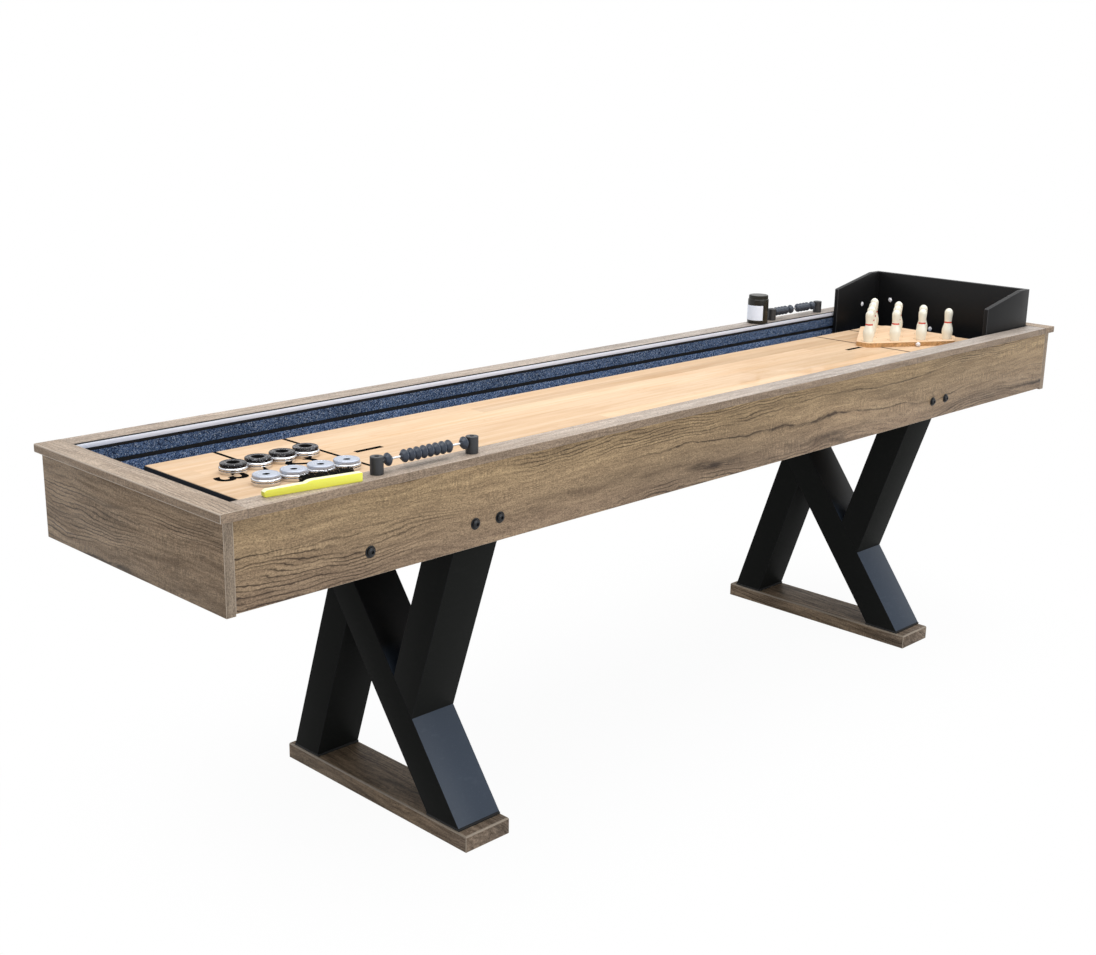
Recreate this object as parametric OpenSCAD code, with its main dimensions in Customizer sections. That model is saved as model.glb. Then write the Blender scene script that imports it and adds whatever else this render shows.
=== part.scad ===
// A long table for shuffleboard and pin bowling: a panelled cabinet on two Z-shaped leg frames,
// with a sunken playfield, carpeted gutters, two bead scorers, a backstop and a set of pins.

/* [Table] */
// Length over the end rails
table_length = 2743; // [2500:1:3100]
// Width over the long rails
table_width = 610; // [580:1:680]
// Height of the rail tops above the floor
table_height = 800; // [760:1:860]

/* [Rails] */
// Width of each rail, edge trim included
rail_width = 54; // [48:0.5:70]
// Thickness of the rails
rail_thickness = 16.5; // [12:0.5:25]
// How far the rails stand out past the cabinet
rail_overhang = 10; // [6:0.5:14]
// Bevel along the rails' outer edges
rail_bevel = 1.2; // [0.5:0.1:3]
// Thickness of the trim strip on the rails' inner edges
trim_thickness = 2; // [1:0.1:3]
// Margin of the trim strip from the rail's top and bottom faces
trim_margin = 1.6; // [0.5:0.1:3]

/* [Cabinet] */
// Thickness of the two long aprons
apron_thickness = 20; // [16:0.5:24]
// Height of the long aprons under the rails
apron_height = 158.5; // [140:0.5:200]
// Thickness of the end panels
end_panel_thickness = 18.5; // [16:0.5:24]
// How far the end panels reach below the aprons
end_panel_drop = 4; // [1:0.5:10]
// Depth of the cabinet floor below the rail tops
floor_depth = 93; // [80:0.5:100]
// Thickness of the cabinet floor board
floor_thickness = 12; // [9:0.5:18]
// Side of the corner blocks
corner_block_side = 45; // [30:1:60]
// Height of the corner blocks
corner_block_height = 55; // [30:1:60]
// Thickness of the cross stretchers
stretcher_thickness = 20; // [15:0.5:40]
// Height of the cross stretchers
stretcher_height = 48; // [30:0.5:60]
// Distance of the outer stretchers from the table's ends
stretcher_inset = 303; // [200:1:340]

/* [Gutter] */
// Thickness of the carpet
carpet_thickness = 2; // [1:0.1:4]
// Seam between neighbouring strips of board, trim and carpet
seam = 0.2; // [0.1:0.05:0.5]
// Depth of the black reveal line below the rail tops
reveal_depth_below = 41; // [30:0.5:50]
// Height of the reveal line
reveal_height = 7; // [4:0.5:12]
// How deep the reveal is cut into the wall boards
reveal_cut = 5; // [2:0.5:8]
// How far the carpet runs in under the playfield
carpet_tuck = 10; // [4:0.5:20]

/* [Playfield] */
// Gap between the playfield's ends and the carpeted end walls
playfield_end_gap = 95.5; // [60:0.5:140]
// Width of the playfield
playfield_width = 356; // [320:1:400]
// Thickness of the playfield
playfield_thickness = 32; // [22:0.5:36]
// Depth of the playing surface below the rail tops
playfield_depth = 43; // [34:0.5:50]
// Thickness of the black caps on the playfield's ends
end_cap_thickness = 2; // [1:0.1:4]
// Bevel along the playfield's long top edges
playfield_bevel = 1; // [0.3:0.1:2]
// Number of bearers under the playfield
bearer_count = 7; // [4:1:10]
// Width of each bearer
bearer_width = 60; // [30:1:90]
// Margin of the bearers' ends from the playfield's sides
bearer_margin = 30; // [22:1:60]

/* [Legs] */
// Distance of each leg frame's middle from the table's end
leg_inset = 588; // [500:1:700]
// Width of the leg members along the table
member_width = 111; // [80:1:130]
// Thickness of the leg members
member_thickness = 76; // [55:1:80]
// Distance of the foot boards' ends from the rails' outer edges
foot_inset = 14; // [5:0.5:20]
// Width of each foot board
foot_width = 116.5; // [112:0.5:140]
// Thickness of each foot board
foot_thickness = 35; // [25:0.5:45]
// Bevel on the foot boards' upper edges
foot_bevel = 2; // [0.5:0.1:4]
// Thickness of the pads between members and boards
pad_thickness = 5; // [3:0.5:8]
// How far the pads stand out past the members
pad_margin = 2; // [0:0.5:2.5]
// Distance of the brace's foot from the rail's outer edge
brace_foot_inset = 83; // [80:1:105]
// Distance of the post's foot from the rail's outer edge
post_foot_inset = 73; // [65:1:90]
// Lean of the post and the arm from upright, in degrees
post_lean = 18.4; // [14:0.1:22]
// Shift of the leg frames towards the far side
leg_shift = 3; // [0:0.5:4]
// Height of the crossbars on top of the leg frames
crossbar_height = 48; // [40:0.5:60]

/* [Bolts] */
// Depth of the bolt line below the rail tops
bolt_depth = 130; // [122:0.5:136]
// Distance between the two bolts of a leg frame
bolt_spacing = 62; // [40:1:80]
// How far the pair of bolts lies outboard of the leg's middle
bolt_offset = 9; // [0:0.5:12]
// Diameter of the bolt shanks
bolt_diameter = 8; // [6:0.5:10]
// Length of the bolt shanks under the washer
bolt_length = 60; // [45:1:80]
// Diameter of the domed bolt heads
bolt_head_diameter = 14; // [12:0.5:18]
// Height of the domed bolt heads
bolt_head_height = 5; // [4:0.1:6]
// Width across the corners of the hex socket
socket_width = 5.8; // [4:0.1:7]
// Depth of the hex socket
socket_depth = 2.5; // [1.5:0.1:3.5]
// Diameter of the washers
washer_diameter = 18; // [16:0.5:24]
// Thickness of the washers
washer_thickness = 1.6; // [1:0.1:2.5]
// Clearance all round the shanks
bolt_clearance = 0.4; // [0.2:0.05:1]

/* [Scorers] */
// Diameter of the scorer posts
post_diameter = 24; // [18:0.5:30]
// Height of the scorer posts
post_height = 32; // [30:0.5:40]
// Distance between the two posts of a scorer
post_spacing = 221; // [200:1:260]
// Distance of the near scorer's outer post from the table's left end
near_scorer_inset = 333.5; // [250:0.5:420]
// Distance of the far scorer's outer post from the table's right end
far_scorer_inset = 316.5; // [250:0.5:420]
// Bevel round the posts' tops
post_bevel = 0.8; // [0.3:0.1:2]
// Height of the rods above the rails
rod_height = 22; // [18:0.5:24]
// Diameter of the rods
rod_diameter = 4; // [3:0.1:6]
// Depth to which the rods enter the posts
rod_seat = 6; // [3:0.5:7]
// Diameter of the screw recess in the posts' tops
recess_diameter = 9; // [6:0.5:11]
// Depth of the screw recess
recess_depth = 4; // [2:0.5:5]
// Diameter of the screw shanks
screw_diameter = 4; // [3:0.1:5]
// Depth to which the screws enter the cabinet
screw_reach = 12; // [6:0.5:14]
// Diameter of the beads
bead_diameter = 24; // [18:0.5:30]
// Thickness of each bead
bead_thickness = 14.4; // [10:0.1:15]
// Diameter of the beads' end faces
bead_face_diameter = 12; // [8:0.5:18]
// Gap between neighbouring beads
bead_gap = 0.2; // [0.1:0.05:0.5]
// Gap between a bead and the post beside it
bead_rest_gap = 0.6; // [0.3:0.1:3]
// Clearance all round the rod in the beads
bead_clearance = 0.09; // [0.05:0.01:0.1]
// Beads in the near scorer's middle stack
near_stack_count = 8; // [4:1:9]
// Distance of the near scorer's lone left bead from its post
near_left_gap = 5; // [0.5:0.1:8]
// Distance of the near stack from the lone left bead
near_stack_gap = 23; // [10:0.5:26]
// Beads side by side in each of the far scorer's groups
far_group_count = 4; // [2:1:4]
// Distance of each far group from its lone bead
far_lone_gap = 10; // [2:0.5:12]
// Distance of the far scorer's right lone bead from its post
far_right_gap = 9.8; // [9.5:0.1:12]

/* [Backstop] */
// Thickness of the backstop boards
board_thickness = 12; // [9:0.5:15]
// Distance from the front of the wings to the back of the well
wing_length = 222.5; // [180:0.5:240]
// Height of the wings' front above the rail tops
wing_front_height = 68; // [50:1:90]
// Height of the backstop above the rail tops
backstop_height = 102.5; // [92:0.5:130]
// Level length at the top rear of the wings
wing_level_length = 48; // [30:0.5:80]
// Clearance between the wings and the carpeted walls
wing_clearance = 4; // [1:0.5:8]
// Clearance behind the backstop
back_clearance = 1; // [0.5:0.1:2]
// Diameter of the white screw caps
cap_diameter = 13; // [10:0.5:16]
// Height of the white screw caps
cap_height = 3; // [1.5:0.1:4]
// Distance of the wing's cap from the back panel
wing_cap_reach = 79.5; // [40:1:120]
// Height of the wing's cap above the rail tops
wing_cap_height = 12; // [5:1:40]
// Distance of the corner cap from the middle line
corner_cap_reach = 190; // [150:1:210]
// Height of the corner cap above the rail tops
corner_cap_height = 22; // [10:1:40]
// Distance of the low cap from the middle line
low_cap_reach = 48; // [30:1:100]
// Depth of the low cap below the rail tops
low_cap_depth = 47; // [35:0.5:60]

/* [Pins] */
// Distance of the head pin from the playfield's right end
head_pin_inset = 319; // [290:1:340]
// Distance between neighbouring pin spots
pin_pitch = 80; // [66:0.5:82]
// Height of a pin
pin_height = 85; // [60:0.5:100]
// Diameter of a pin's foot
pin_foot_diameter = 25.5; // [16:0.5:27]
// Diameter of a pin's belly
pin_belly_diameter = 30; // [24:0.5:34]
// Diameter of a pin's neck
pin_neck_diameter = 19.5; // [10:0.5:21]
// Diameter of a pin's head
pin_head_diameter = 22.5; // [16:0.5:25]
// Thickness of the pin plate
plate_thickness = 12; // [8:0.5:18]
// Margin of the plate's straight sides from the pin spots
plate_margin = 35; // [30:0.5:45]
// Margin of the plate's rear edge from the rear row of pin spots
plate_rear_margin = 60; // [50:0.5:66]
// Distance of the plate's head end from the head pin
plate_head_reach = 37; // [30:0.5:50]
// Distance of the plate's clipped rear corners from the corner pins
plate_corner_reach = 22; // [16:0.5:26]
// Rounding of the plate's corners
plate_rounding = 14; // [6:1:20]
// Distance of the four spot marks from each pin's centre
mark_reach = 21; // [18:0.5:26]
// Diameter of the drilled spot marks
mark_diameter = 3; // [1.5:0.1:4]
// Depth of the drilled spot marks
mark_depth = 1.5; // [0.5:0.1:3]
// Diameter of the plate's round knob
knob_diameter = 12.6; // [8:0.1:14]
// Height of the knob above the playing surface
knob_lift = 0.4; // [0.2:0.1:1]
// How far along the plate's near side the knob sits, from the head pin
knob_along = 130; // [80:1:150]

/* [Pucks] */
// Diameter of a puck's metal weight
puck_diameter = 54; // [40:0.5:54.5]
// Height of a puck's metal weight
weight_height = 13; // [10:0.5:18]
// Diameter of a puck's cap
puck_cap_diameter = 50; // [36:0.5:51]
// Height of a puck's cap above its weight
puck_cap_height = 6.5; // [5:0.5:10]
// Height of the boss that carries a puck's cap
puck_boss_height = 2; // [1:0.1:2.5]
// Clearance all round the boss in the cap
puck_seat_gap = 0.1; // [0.05:0.05:0.3]
// Diameter of the dish in a puck's cap
dish_diameter = 15; // [8:0.5:18]
// Depth of the dish in a puck's cap
dish_depth = 3; // [1:0.5:3.5]
// Depth of the groove round a puck's weight
puck_groove = 0.8; // [0.3:0.1:1.5]
// Distance of the first row from the playfield's left end
puck_start = 96; // [60:1:160]
// Distance from puck to puck along a row
puck_pitch = 56.8; // [55.5:0.1:64]
// Distance of the dark row from the middle line
dark_row_reach = 33; // [30:1:90]
// Distance of the pale row from the middle line
pale_row_reach = 78.5; // [40:1:110]
// How far each puck steps aside along its row
puck_drift = 4; // [0:0.5:5]

/* [Brush] */
// Length of the brush
brush_length = 183; // [150:1:210]
// Length of the brush's bristled head
brush_head_length = 99; // [70:1:110]
// Height of the brush's head beside the grip
brush_head_height = 17; // [12:0.5:22]
// Height of the brush's head at its tip
brush_tip_height = 15; // [11:0.5:18]
// Height of the brush's grip
brush_grip_height = 14.5; // [9:0.5:18]
// Thickness of the brush's back
brush_back_thickness = 12; // [8:0.5:14]
// Length of the bristles
bristle_length = 21; // [12:0.5:26]
// Width of one bristle tuft strand
bristle_width = 0.7; // [0.4:0.1:0.9]
// How far the outermost bristles flare out
bristle_flare = 5; // [0:0.5:6]
// Bristle strands along the head
bristle_columns = 36; // [20:1:40]
// Rows of bristle strands across the head
bristle_rows = 10; // [6:1:12]
// Margin of the bristle field on the head
bristle_margin = 2; // [1:0.5:4]
// Distance of the bristle field from the brush's tip
bristle_tip_margin = 12; // [4:0.5:20]
// Thickness of the backing slice that holds the bristles
bristle_backing = 2; // [1:0.5:4]
// Turn of the brush on the rail, in degrees
brush_turn = 8.3; // [4:0.1:8.4]
// Distance of the brush's grip end from the table's left end
brush_inset = 105; // [60:1:160]
// Distance of the brush's grip end from the rail's outer edge
brush_side_inset = 32; // [30:0.5:36]

/* [Wax jar] */
// Diameter of the jar
jar_diameter = 57.5; // [44:0.5:60]
// Height of the jar with its lid
jar_height = 78; // [50:0.5:90]
// Diameter of the lid
lid_diameter = 53; // [36:0.5:55]
// Height of the lid
lid_height = 9.5; // [8:0.5:16]
// Wall of the lid
lid_wall = 2.2; // [1.5:0.1:4]
// Ribs round the lid
lid_ribs = 48; // [24:1:72]
// Depth of the lid's ribs
lid_rib_depth = 0.5; // [0.2:0.1:0.8]
// Clearance between the lid and the jar's neck
lid_clearance = 0.3; // [0.2:0.05:0.8]
// Distance of the jar from the table's right end
jar_inset = 606; // [570:0.5:700]
// Distance of the jar from the rail's outer edge
jar_edge_gap = 0.5; // [0.3:0.1:3]

/* [Hidden] */
$fn = 64;
slack = 0.01;

// Levels, from the rail tops down
rail_under = table_height - rail_thickness;
apron_bottom = rail_under - apron_height;
panel_bottom = apron_bottom - end_panel_drop;
floor_top = table_height - floor_depth;
floor_under = floor_top - floor_thickness;
carpet_top = floor_top + carpet_thickness;
play_top = table_height - playfield_depth;
play_under = play_top - playfield_thickness;
reveal_top = table_height - reveal_depth_below;
reveal_bottom = reveal_top - reveal_height;

// Half extents, from the outside in
half_length = table_length / 2;
half_width = table_width / 2;
cabinet_x = half_length - rail_overhang;
cabinet_y = half_width - rail_overhang;
inside_x = cabinet_x - end_panel_thickness;
inside_y = cabinet_y - apron_thickness;
well_x = half_length - rail_width;
well_y = half_width - rail_width;
board_x = well_x + carpet_thickness;
board_y = well_y + carpet_thickness;
rail_mid_y = half_width - rail_width / 2;
play_x = well_x - playfield_end_gap;
play_y = playfield_width / 2;

// Leg frames
leg_x = half_length - leg_inset;
foot_length = table_width - 2 * foot_inset;
brace_foot_reach = half_width - brace_foot_inset;
post_foot_reach = half_width - post_foot_inset;
bar_bottom = floor_under - crossbar_height;
member_bottom = foot_thickness + pad_thickness;
member_top = bar_bottom - pad_thickness;
frame_mid = (foot_thickness + bar_bottom) / 2;
frame_rise = frame_mid - foot_thickness;
brace_slope = (brace_foot_reach + leg_shift) / frame_rise;
brace_half = member_thickness / 2 * sqrt(1 + brace_slope * brace_slope);
post_slope = -tan(post_lean);
post_half = member_thickness / 2 / cos(post_lean);
function brace_y(z) = leg_shift + brace_slope * (z - frame_mid);
function post_y(z) = post_foot_reach + post_slope * (z - foot_thickness);
// Height at which the post's side, shifted by side, meets the brace's under side
function post_meet(side) =
    (post_y(0) + side * post_half - brace_y(0) - brace_half) / (brace_slope - post_slope);
post_inner_z = post_meet(-1);
post_outer_z = post_meet(1);

// Bolts
bolt_z = table_height - bolt_depth;
bolt_xs = [-half_length + stretcher_inset, -leg_x - bolt_offset - bolt_spacing / 2,
    -leg_x - bolt_offset + bolt_spacing / 2, leg_x + bolt_offset - bolt_spacing / 2,
    leg_x + bolt_offset + bolt_spacing / 2];

// Scorers
near_post_x = -half_length + near_scorer_inset;
far_post_x = half_length - far_scorer_inset - post_spacing;
rod_z = table_height + rod_height;
bead_step = bead_thickness + bead_gap;
bead_reach = post_diameter / 2 + bead_thickness / 2;
near_left_x = near_post_x + bead_reach + near_left_gap;
near_stack_x = near_left_x + bead_thickness + near_stack_gap;
near_right_x = near_post_x + post_spacing - bead_reach - bead_rest_gap;
far_left_x = far_post_x + bead_reach + bead_rest_gap;
far_left_lone_x = far_left_x + (far_group_count - 1) * bead_step + bead_thickness + far_lone_gap;
far_right_lone_x = far_post_x + post_spacing - bead_reach - far_right_gap;
far_right_x = far_right_lone_x - bead_thickness - far_lone_gap - (far_group_count - 1) * bead_step;

// Backstop
stop_back = well_x - back_clearance;
stop_front = stop_back - board_thickness;
wing_front = well_x - wing_length;
wing_out = well_y - wing_clearance;
wing_in = wing_out - board_thickness;
stop_top = table_height + backstop_height;

// Pins
head_pin_x = play_x - head_pin_inset;
plate_top = play_top + plate_thickness;
row_step = pin_pitch * cos(30);
function spot(row, place) = [head_pin_x + row * row_step, (place - row / 2) * pin_pitch];
spots = [for (row = [0:3]) for (place = [0:row]) spot(row, place)];
plate_rear = head_pin_x + 3 * row_step + plate_rear_margin;
corner_angle = -60;

// Pucks
function puck_at(i) = i < 4
    ? [-play_x + puck_start + i * puck_pitch, dark_row_reach - puck_drift + i * puck_drift]
    : [-play_x + puck_start + (i - 4) * puck_pitch, -pale_row_reach + puck_drift - (i - 4) * puck_drift];

// Jar
jar_x = half_length - jar_inset;
jar_y = half_width - jar_edge_gap - jar_diameter / 2;
jar_body_height = jar_height - lid_height;
neck_radius = lid_diameter / 2 - lid_wall - lid_clearance;
neck_height = lid_height - lid_wall - lid_clearance;

// A block between two corners
module block(low, high) {
    translate(low)
        cube(high - low);
}

// A profile in Y and Z, drawn out along X
module along_x(from, to, profile) {
    translate([from, 0, 0])
        rotate([90, 0, 90])
            linear_extrude(to - from)
                polygon(profile);
}

// A profile in X and Z, drawn out along Y
module along_y(from, to, profile) {
    translate([0, to, 0])
        rotate([90, 0, 0])
            linear_extrude(to - from)
                polygon(profile);
}

// A rail's section, from its outer edge to its inner edge, bevelled outside
function rail_section(outer, inner, side) = [
    [side * inner, rail_under], [side * (outer - rail_bevel), rail_under],
    [side * outer, rail_under + rail_bevel], [side * outer, table_height - rail_bevel],
    [side * (outer - rail_bevel), table_height], [side * inner, table_height]];

// Points of a polygon with each corner rounded
function turn(a, b, c) = let (u = (a - b) / norm(a - b), v = (c - b) / norm(c - b))
    acos(max(-1, min(1, u * v)));
function rounded(points, radius, steps = 6) = [
    for (i = [0:len(points) - 1])
        let (a = points[(i + len(points) - 1) % len(points)], b = points[i],
            c = points[(i + 1) % len(points)], u = (a - b) / norm(a - b), v = (c - b) / norm(c - b),
            half = turn(a, b, c) / 2,
            reach = min(radius / tan(half), norm(a - b) / 2.05, norm(c - b) / 2.05),
            r = reach * tan(half), middle = b + (u + v) / norm(u + v) * r / sin(half),
            start = b + u * reach - middle, end = b + v * reach - middle)
        for (k = [0:steps])
            let (mixed = start * (1 - k / steps) + end * (k / steps))
            middle + mixed / norm(mixed) * r];

// The same apron serves both sides, turned half round
module apron(side) {
    difference() {
        block([-inside_x, min(side * inside_y, side * cabinet_y), apron_bottom],
            [inside_x, max(side * inside_y, side * cabinet_y), rail_under]);
        for (x = bolt_xs)
            translate([-side * x, 0, bolt_z])
                rotate([-90 * side, 0, 0])
                    translate([0, 0, inside_y - 1])
                        cylinder(h = apron_thickness + 2, d = bolt_diameter + 2 * bolt_clearance);
    }
}

module near_apron() {
    color([0.55, 0.47, 0.37])
        apron(-1);
}

module far_apron() {
    color([0.53, 0.45, 0.35])
        apron(1);
}

module end_panel(side) {
    block([min(side * inside_x, side * cabinet_x), -cabinet_y, panel_bottom],
        [max(side * inside_x, side * cabinet_x), cabinet_y, rail_under]);
}

module left_end_panel() {
    color([0.50, 0.42, 0.33])
        end_panel(-1);
}

module right_end_panel() {
    color([0.50, 0.42, 0.33])
        end_panel(1);
}

// Long rails run between the end rails, each with two screw holes under its scorer
module long_rail(side, first_post) {
    difference() {
        along_x(-well_x - trim_thickness, well_x + trim_thickness,
            rail_section(half_width, well_y + trim_thickness, side));
        for (x = [first_post, first_post + post_spacing])
            translate([x, side * rail_mid_y, rail_under - 1])
                cylinder(h = rail_thickness + 2, d = screw_diameter + 2 * bolt_clearance);
    }
}

module near_rail() {
    color([0.62, 0.55, 0.46])
        long_rail(-1, near_post_x);
}

module far_rail() {
    color([0.62, 0.55, 0.46])
        long_rail(1, far_post_x);
}

module end_rail(side) {
    along_y(-half_width, half_width, rail_section(half_length, well_x + trim_thickness, side));
}

module left_rail() {
    color([0.60, 0.53, 0.44])
        end_rail(-1);
}

module right_rail() {
    color([0.60, 0.53, 0.44])
        end_rail(1);
}

// Pale strips let into the inner edges of the four rails
module rail_edge_trims() {
    low = rail_under + trim_margin;
    high = table_height - trim_margin;
    out_x = well_x + trim_thickness;
    out_y = well_y + trim_thickness;
    color([0.78, 0.78, 0.84]) {
        for (side = [-1, 1]) {
            block([-out_x, min(side * well_y, side * out_y), low],
                [out_x, max(side * well_y, side * out_y), high]);
            block([min(side * well_x, side * out_x), -well_y + seam, low],
                [max(side * well_x, side * out_x), well_y - seam, high]);
        }
    }
}

// Boards behind the carpet, with a reveal cut along them
module wall_boards() {
    color([0.06, 0.06, 0.07]) {
        for (side = [-1, 1]) {
            along_x(-inside_x, inside_x, [for (p = wall_section(board_y, inside_y)) [side * p[0], p[1]]]);
            along_y(-board_y + seam, board_y - seam,
                [for (p = wall_section(board_x, inside_x)) [side * p[0], p[1]]]);
        }
    }
}
function wall_section(face, back) = [
    [back, floor_top], [face, floor_top], [face, reveal_bottom],
    [face + reveal_cut, reveal_bottom], [face + reveal_cut, reveal_top],
    [face, reveal_top], [face, rail_under], [back, rail_under]];

// Two carpet bands on each wall, above and below the reveal
module wall_carpets() {
    color([0.13, 0.17, 0.25]) {
        for (side = [-1, 1]) {
            for (band = [[floor_top, reveal_bottom], [reveal_top, rail_under]]) {
                block([-board_x, min(side * well_y, side * board_y), band[0]],
                    [board_x, max(side * well_y, side * board_y), band[1]]);
                block([min(side * well_x, side * board_x), -well_y + seam, band[0]],
                    [max(side * well_x, side * board_x), well_y - seam, band[1]]);
            }
        }
    }
}

module floor_board() {
    color([0.16, 0.15, 0.14])
        block([-inside_x, -inside_y, floor_under], [inside_x, inside_y, floor_top]);
}

// Four strips of carpet on the floor, tucked in under the playfield
module gutter_carpet() {
    tuck_x = play_x - carpet_tuck;
    tuck_y = play_y - carpet_tuck;
    color([0.15, 0.19, 0.28]) {
        for (side = [-1, 1]) {
            block([-well_x, min(side * tuck_y, side * well_y), floor_top],
                [well_x, max(side * tuck_y, side * well_y), carpet_top]);
            block([min(side * tuck_x, side * well_x), -tuck_y + seam, floor_top],
                [max(side * tuck_x, side * well_x), tuck_y - seam, carpet_top]);
        }
    }
}

// The playing board, with its long top edges bevelled
module playfield() {
    color([0.90, 0.72, 0.48])
        along_x(-play_x + end_cap_thickness, play_x - end_cap_thickness, [
            [-play_y, play_under], [play_y, play_under], [play_y, play_top - playfield_bevel],
            [play_y - playfield_bevel, play_top], [-play_y + playfield_bevel, play_top],
            [-play_y, play_top - playfield_bevel]]);
}

module playfield_end_caps() {
    color([0.03, 0.03, 0.03])
        for (side = [-1, 1])
            block([min(side * play_x, side * (play_x - end_cap_thickness)), -play_y, play_under],
                [max(side * play_x, side * (play_x - end_cap_thickness)), play_y, play_top - playfield_bevel]);
}

module playfield_bearers() {
    run = 2 * (play_x - carpet_tuck - bearer_width);
    color([0.70, 0.60, 0.42])
        for (i = [0:bearer_count - 1])
            translate([-run / 2 + i * run / (bearer_count - 1), 0, 0])
                block([-bearer_width / 2, -play_y + bearer_margin, floor_top],
                    [bearer_width / 2, play_y - bearer_margin, play_under]);
}

module corner_blocks() {
    color([0.68, 0.58, 0.42])
        for (sx = [-1, 1])
            for (sy = [-1, 1])
                translate([sx * (inside_x - corner_block_side / 2), sy * (inside_y - corner_block_side / 2), 0])
                    difference() {
                        block([-corner_block_side / 2, -corner_block_side / 2, floor_under - corner_block_height],
                            [corner_block_side / 2, corner_block_side / 2, floor_under]);
                        translate([-sx * corner_block_side / 2, -sy * corner_block_side / 2, 0])
                            rotate([0, 0, 45])
                                cube([corner_block_side * 0.6, corner_block_side * 0.6, 3 * table_height],
                                    center = true);
                    }
}

// Stretchers under the floor, with a hole for each bolt that ends in them
module cross_stretchers() {
    color([0.66, 0.56, 0.40])
        difference() {
            for (x = [-half_length + stretcher_inset, 0, half_length - stretcher_inset])
                translate([x, 0, 0])
                    block([-stretcher_thickness / 2, -inside_y, floor_under - stretcher_height],
                        [stretcher_thickness / 2, inside_y, floor_under]);
            bolt_sockets([0]);
        }
}

// Blind holes that the bolts reach into, for the bolts picked
module bolt_sockets(picked) {
    depth = bolt_length - apron_thickness + 3;
    for (side = [-1, 1])
        for (i = picked)
            translate([-side * bolt_xs[i], side * (inside_y - depth), bolt_z])
                rotate([-90 * side, 0, 0])
                    cylinder(h = depth + 1, d = bolt_diameter + 2 * bolt_clearance);
}

// Foot boards, bevelled along their upper edges and ends
module foot_boards() {
    color([0.42, 0.34, 0.27])
        for (side = [-1, 1])
            translate([side * leg_x, 0, 0])
                intersection() {
                    along_x(-foot_width / 2, foot_width / 2, bevelled_section(foot_length / 2));
                    along_y(-foot_length / 2, foot_length / 2, bevelled_section(foot_width / 2));
                }
}
function bevelled_section(half) = [
    [-half, 0], [half, 0], [half, foot_thickness - foot_bevel], [half - foot_bevel, foot_thickness],
    [-half + foot_bevel, foot_thickness], [-half, foot_thickness - foot_bevel]];

// A leg member's outline in Y and Z, drawn out to the member's width on both leg frames
module on_legs(outline) {
    for (side = [-1, 1])
        along_x(side * leg_x - member_width / 2, side * leg_x + member_width / 2, outline);
}
function half_turned(outline) = [for (p = outline) [2 * leg_shift - p[0], 2 * frame_mid - p[1]]];
post_outline = [
    [post_y(member_bottom) - post_half, member_bottom], [post_y(member_bottom) + post_half, member_bottom],
    [post_y(post_outer_z) + post_half, post_outer_z], [post_y(post_inner_z) - post_half, post_inner_z]];

// The long brace from the near foot up to the far top
module leg_braces() {
    color([0.07, 0.07, 0.08])
        on_legs([
            [brace_y(member_bottom) - brace_half, member_bottom],
            [brace_y(member_bottom) + brace_half, member_bottom],
            [brace_y(member_top) + brace_half, member_top],
            [brace_y(member_top) - brace_half, member_top]]);
}

// The far post, mitred to the brace's under side
module leg_posts() {
    color([0.09, 0.09, 0.10])
        on_legs(post_outline);
}

// The near arm: the post turned half round
module leg_arms() {
    color([0.08, 0.08, 0.09])
        on_legs(half_turned(post_outline));
}

// Pads under the members' feet and over their tops
module leg_pads() {
    brace_pad = [
        [brace_y(member_bottom) - brace_half - pad_margin, foot_thickness],
        [brace_y(member_bottom) + brace_half + pad_margin, foot_thickness],
        [brace_y(member_bottom) + brace_half + pad_margin, member_bottom],
        [brace_y(member_bottom) - brace_half - pad_margin, member_bottom]];
    post_pad = [
        [post_y(member_bottom) - post_half - pad_margin, foot_thickness],
        [post_y(member_bottom) + post_half + pad_margin, foot_thickness],
        [post_y(member_bottom) + post_half + pad_margin, member_bottom],
        [post_y(member_bottom) - post_half - pad_margin, member_bottom]];
    color([0.04, 0.04, 0.04])
        for (outline = [brace_pad, post_pad, half_turned(brace_pad), half_turned(post_pad)])
            on_legs(outline);
}

module leg_crossbars() {
    color([0.06, 0.06, 0.07])
        difference() {
            for (side = [-1, 1])
                block([side * leg_x - member_width / 2, -inside_y, bar_bottom],
                    [side * leg_x + member_width / 2, inside_y, floor_under]);
            bolt_sockets([1, 2, 3, 4]);
        }
}

// Domed socket bolts through the aprons
module apron_bolts() {
    dome = (bolt_head_diameter * bolt_head_diameter / 4 + bolt_head_height * bolt_head_height)
        / (2 * bolt_head_height);
    color([0.05, 0.05, 0.05])
        for (side = [-1, 1])
            for (x = bolt_xs)
                translate([-side * x, side * (cabinet_y + washer_thickness), bolt_z])
                    rotate([-90 * side, 0, 0])
                        difference() {
                            union() {
                                translate([0, 0, -bolt_length - washer_thickness])
                                    cylinder(h = bolt_length + washer_thickness + slack, d = bolt_diameter);
                                intersection() {
                                    translate([0, 0, bolt_head_height - dome])
                                        sphere(r = dome);
                                    cylinder(h = bolt_head_height + 1, d = bolt_head_diameter);
                                }
                            }
                            translate([0, 0, bolt_head_height - socket_depth])
                                cylinder(h = socket_depth + 1, d = socket_width, $fn = 6);
                        }
}

module apron_washers() {
    color([0.10, 0.10, 0.11])
        for (side = [-1, 1])
            for (x = bolt_xs)
                translate([-side * x, side * cabinet_y, bolt_z])
                    rotate([-90 * side, 0, 0])
                        difference() {
                            cylinder(h = washer_thickness, d = washer_diameter);
                            translate([0, 0, -1])
                                cylinder(h = washer_thickness + 2, d = bolt_diameter + 2 * bolt_clearance);
                        }
}

// Where the two scorers stand: first post and side
scorers = [[near_post_x, -1], [far_post_x, 1]];

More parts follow.
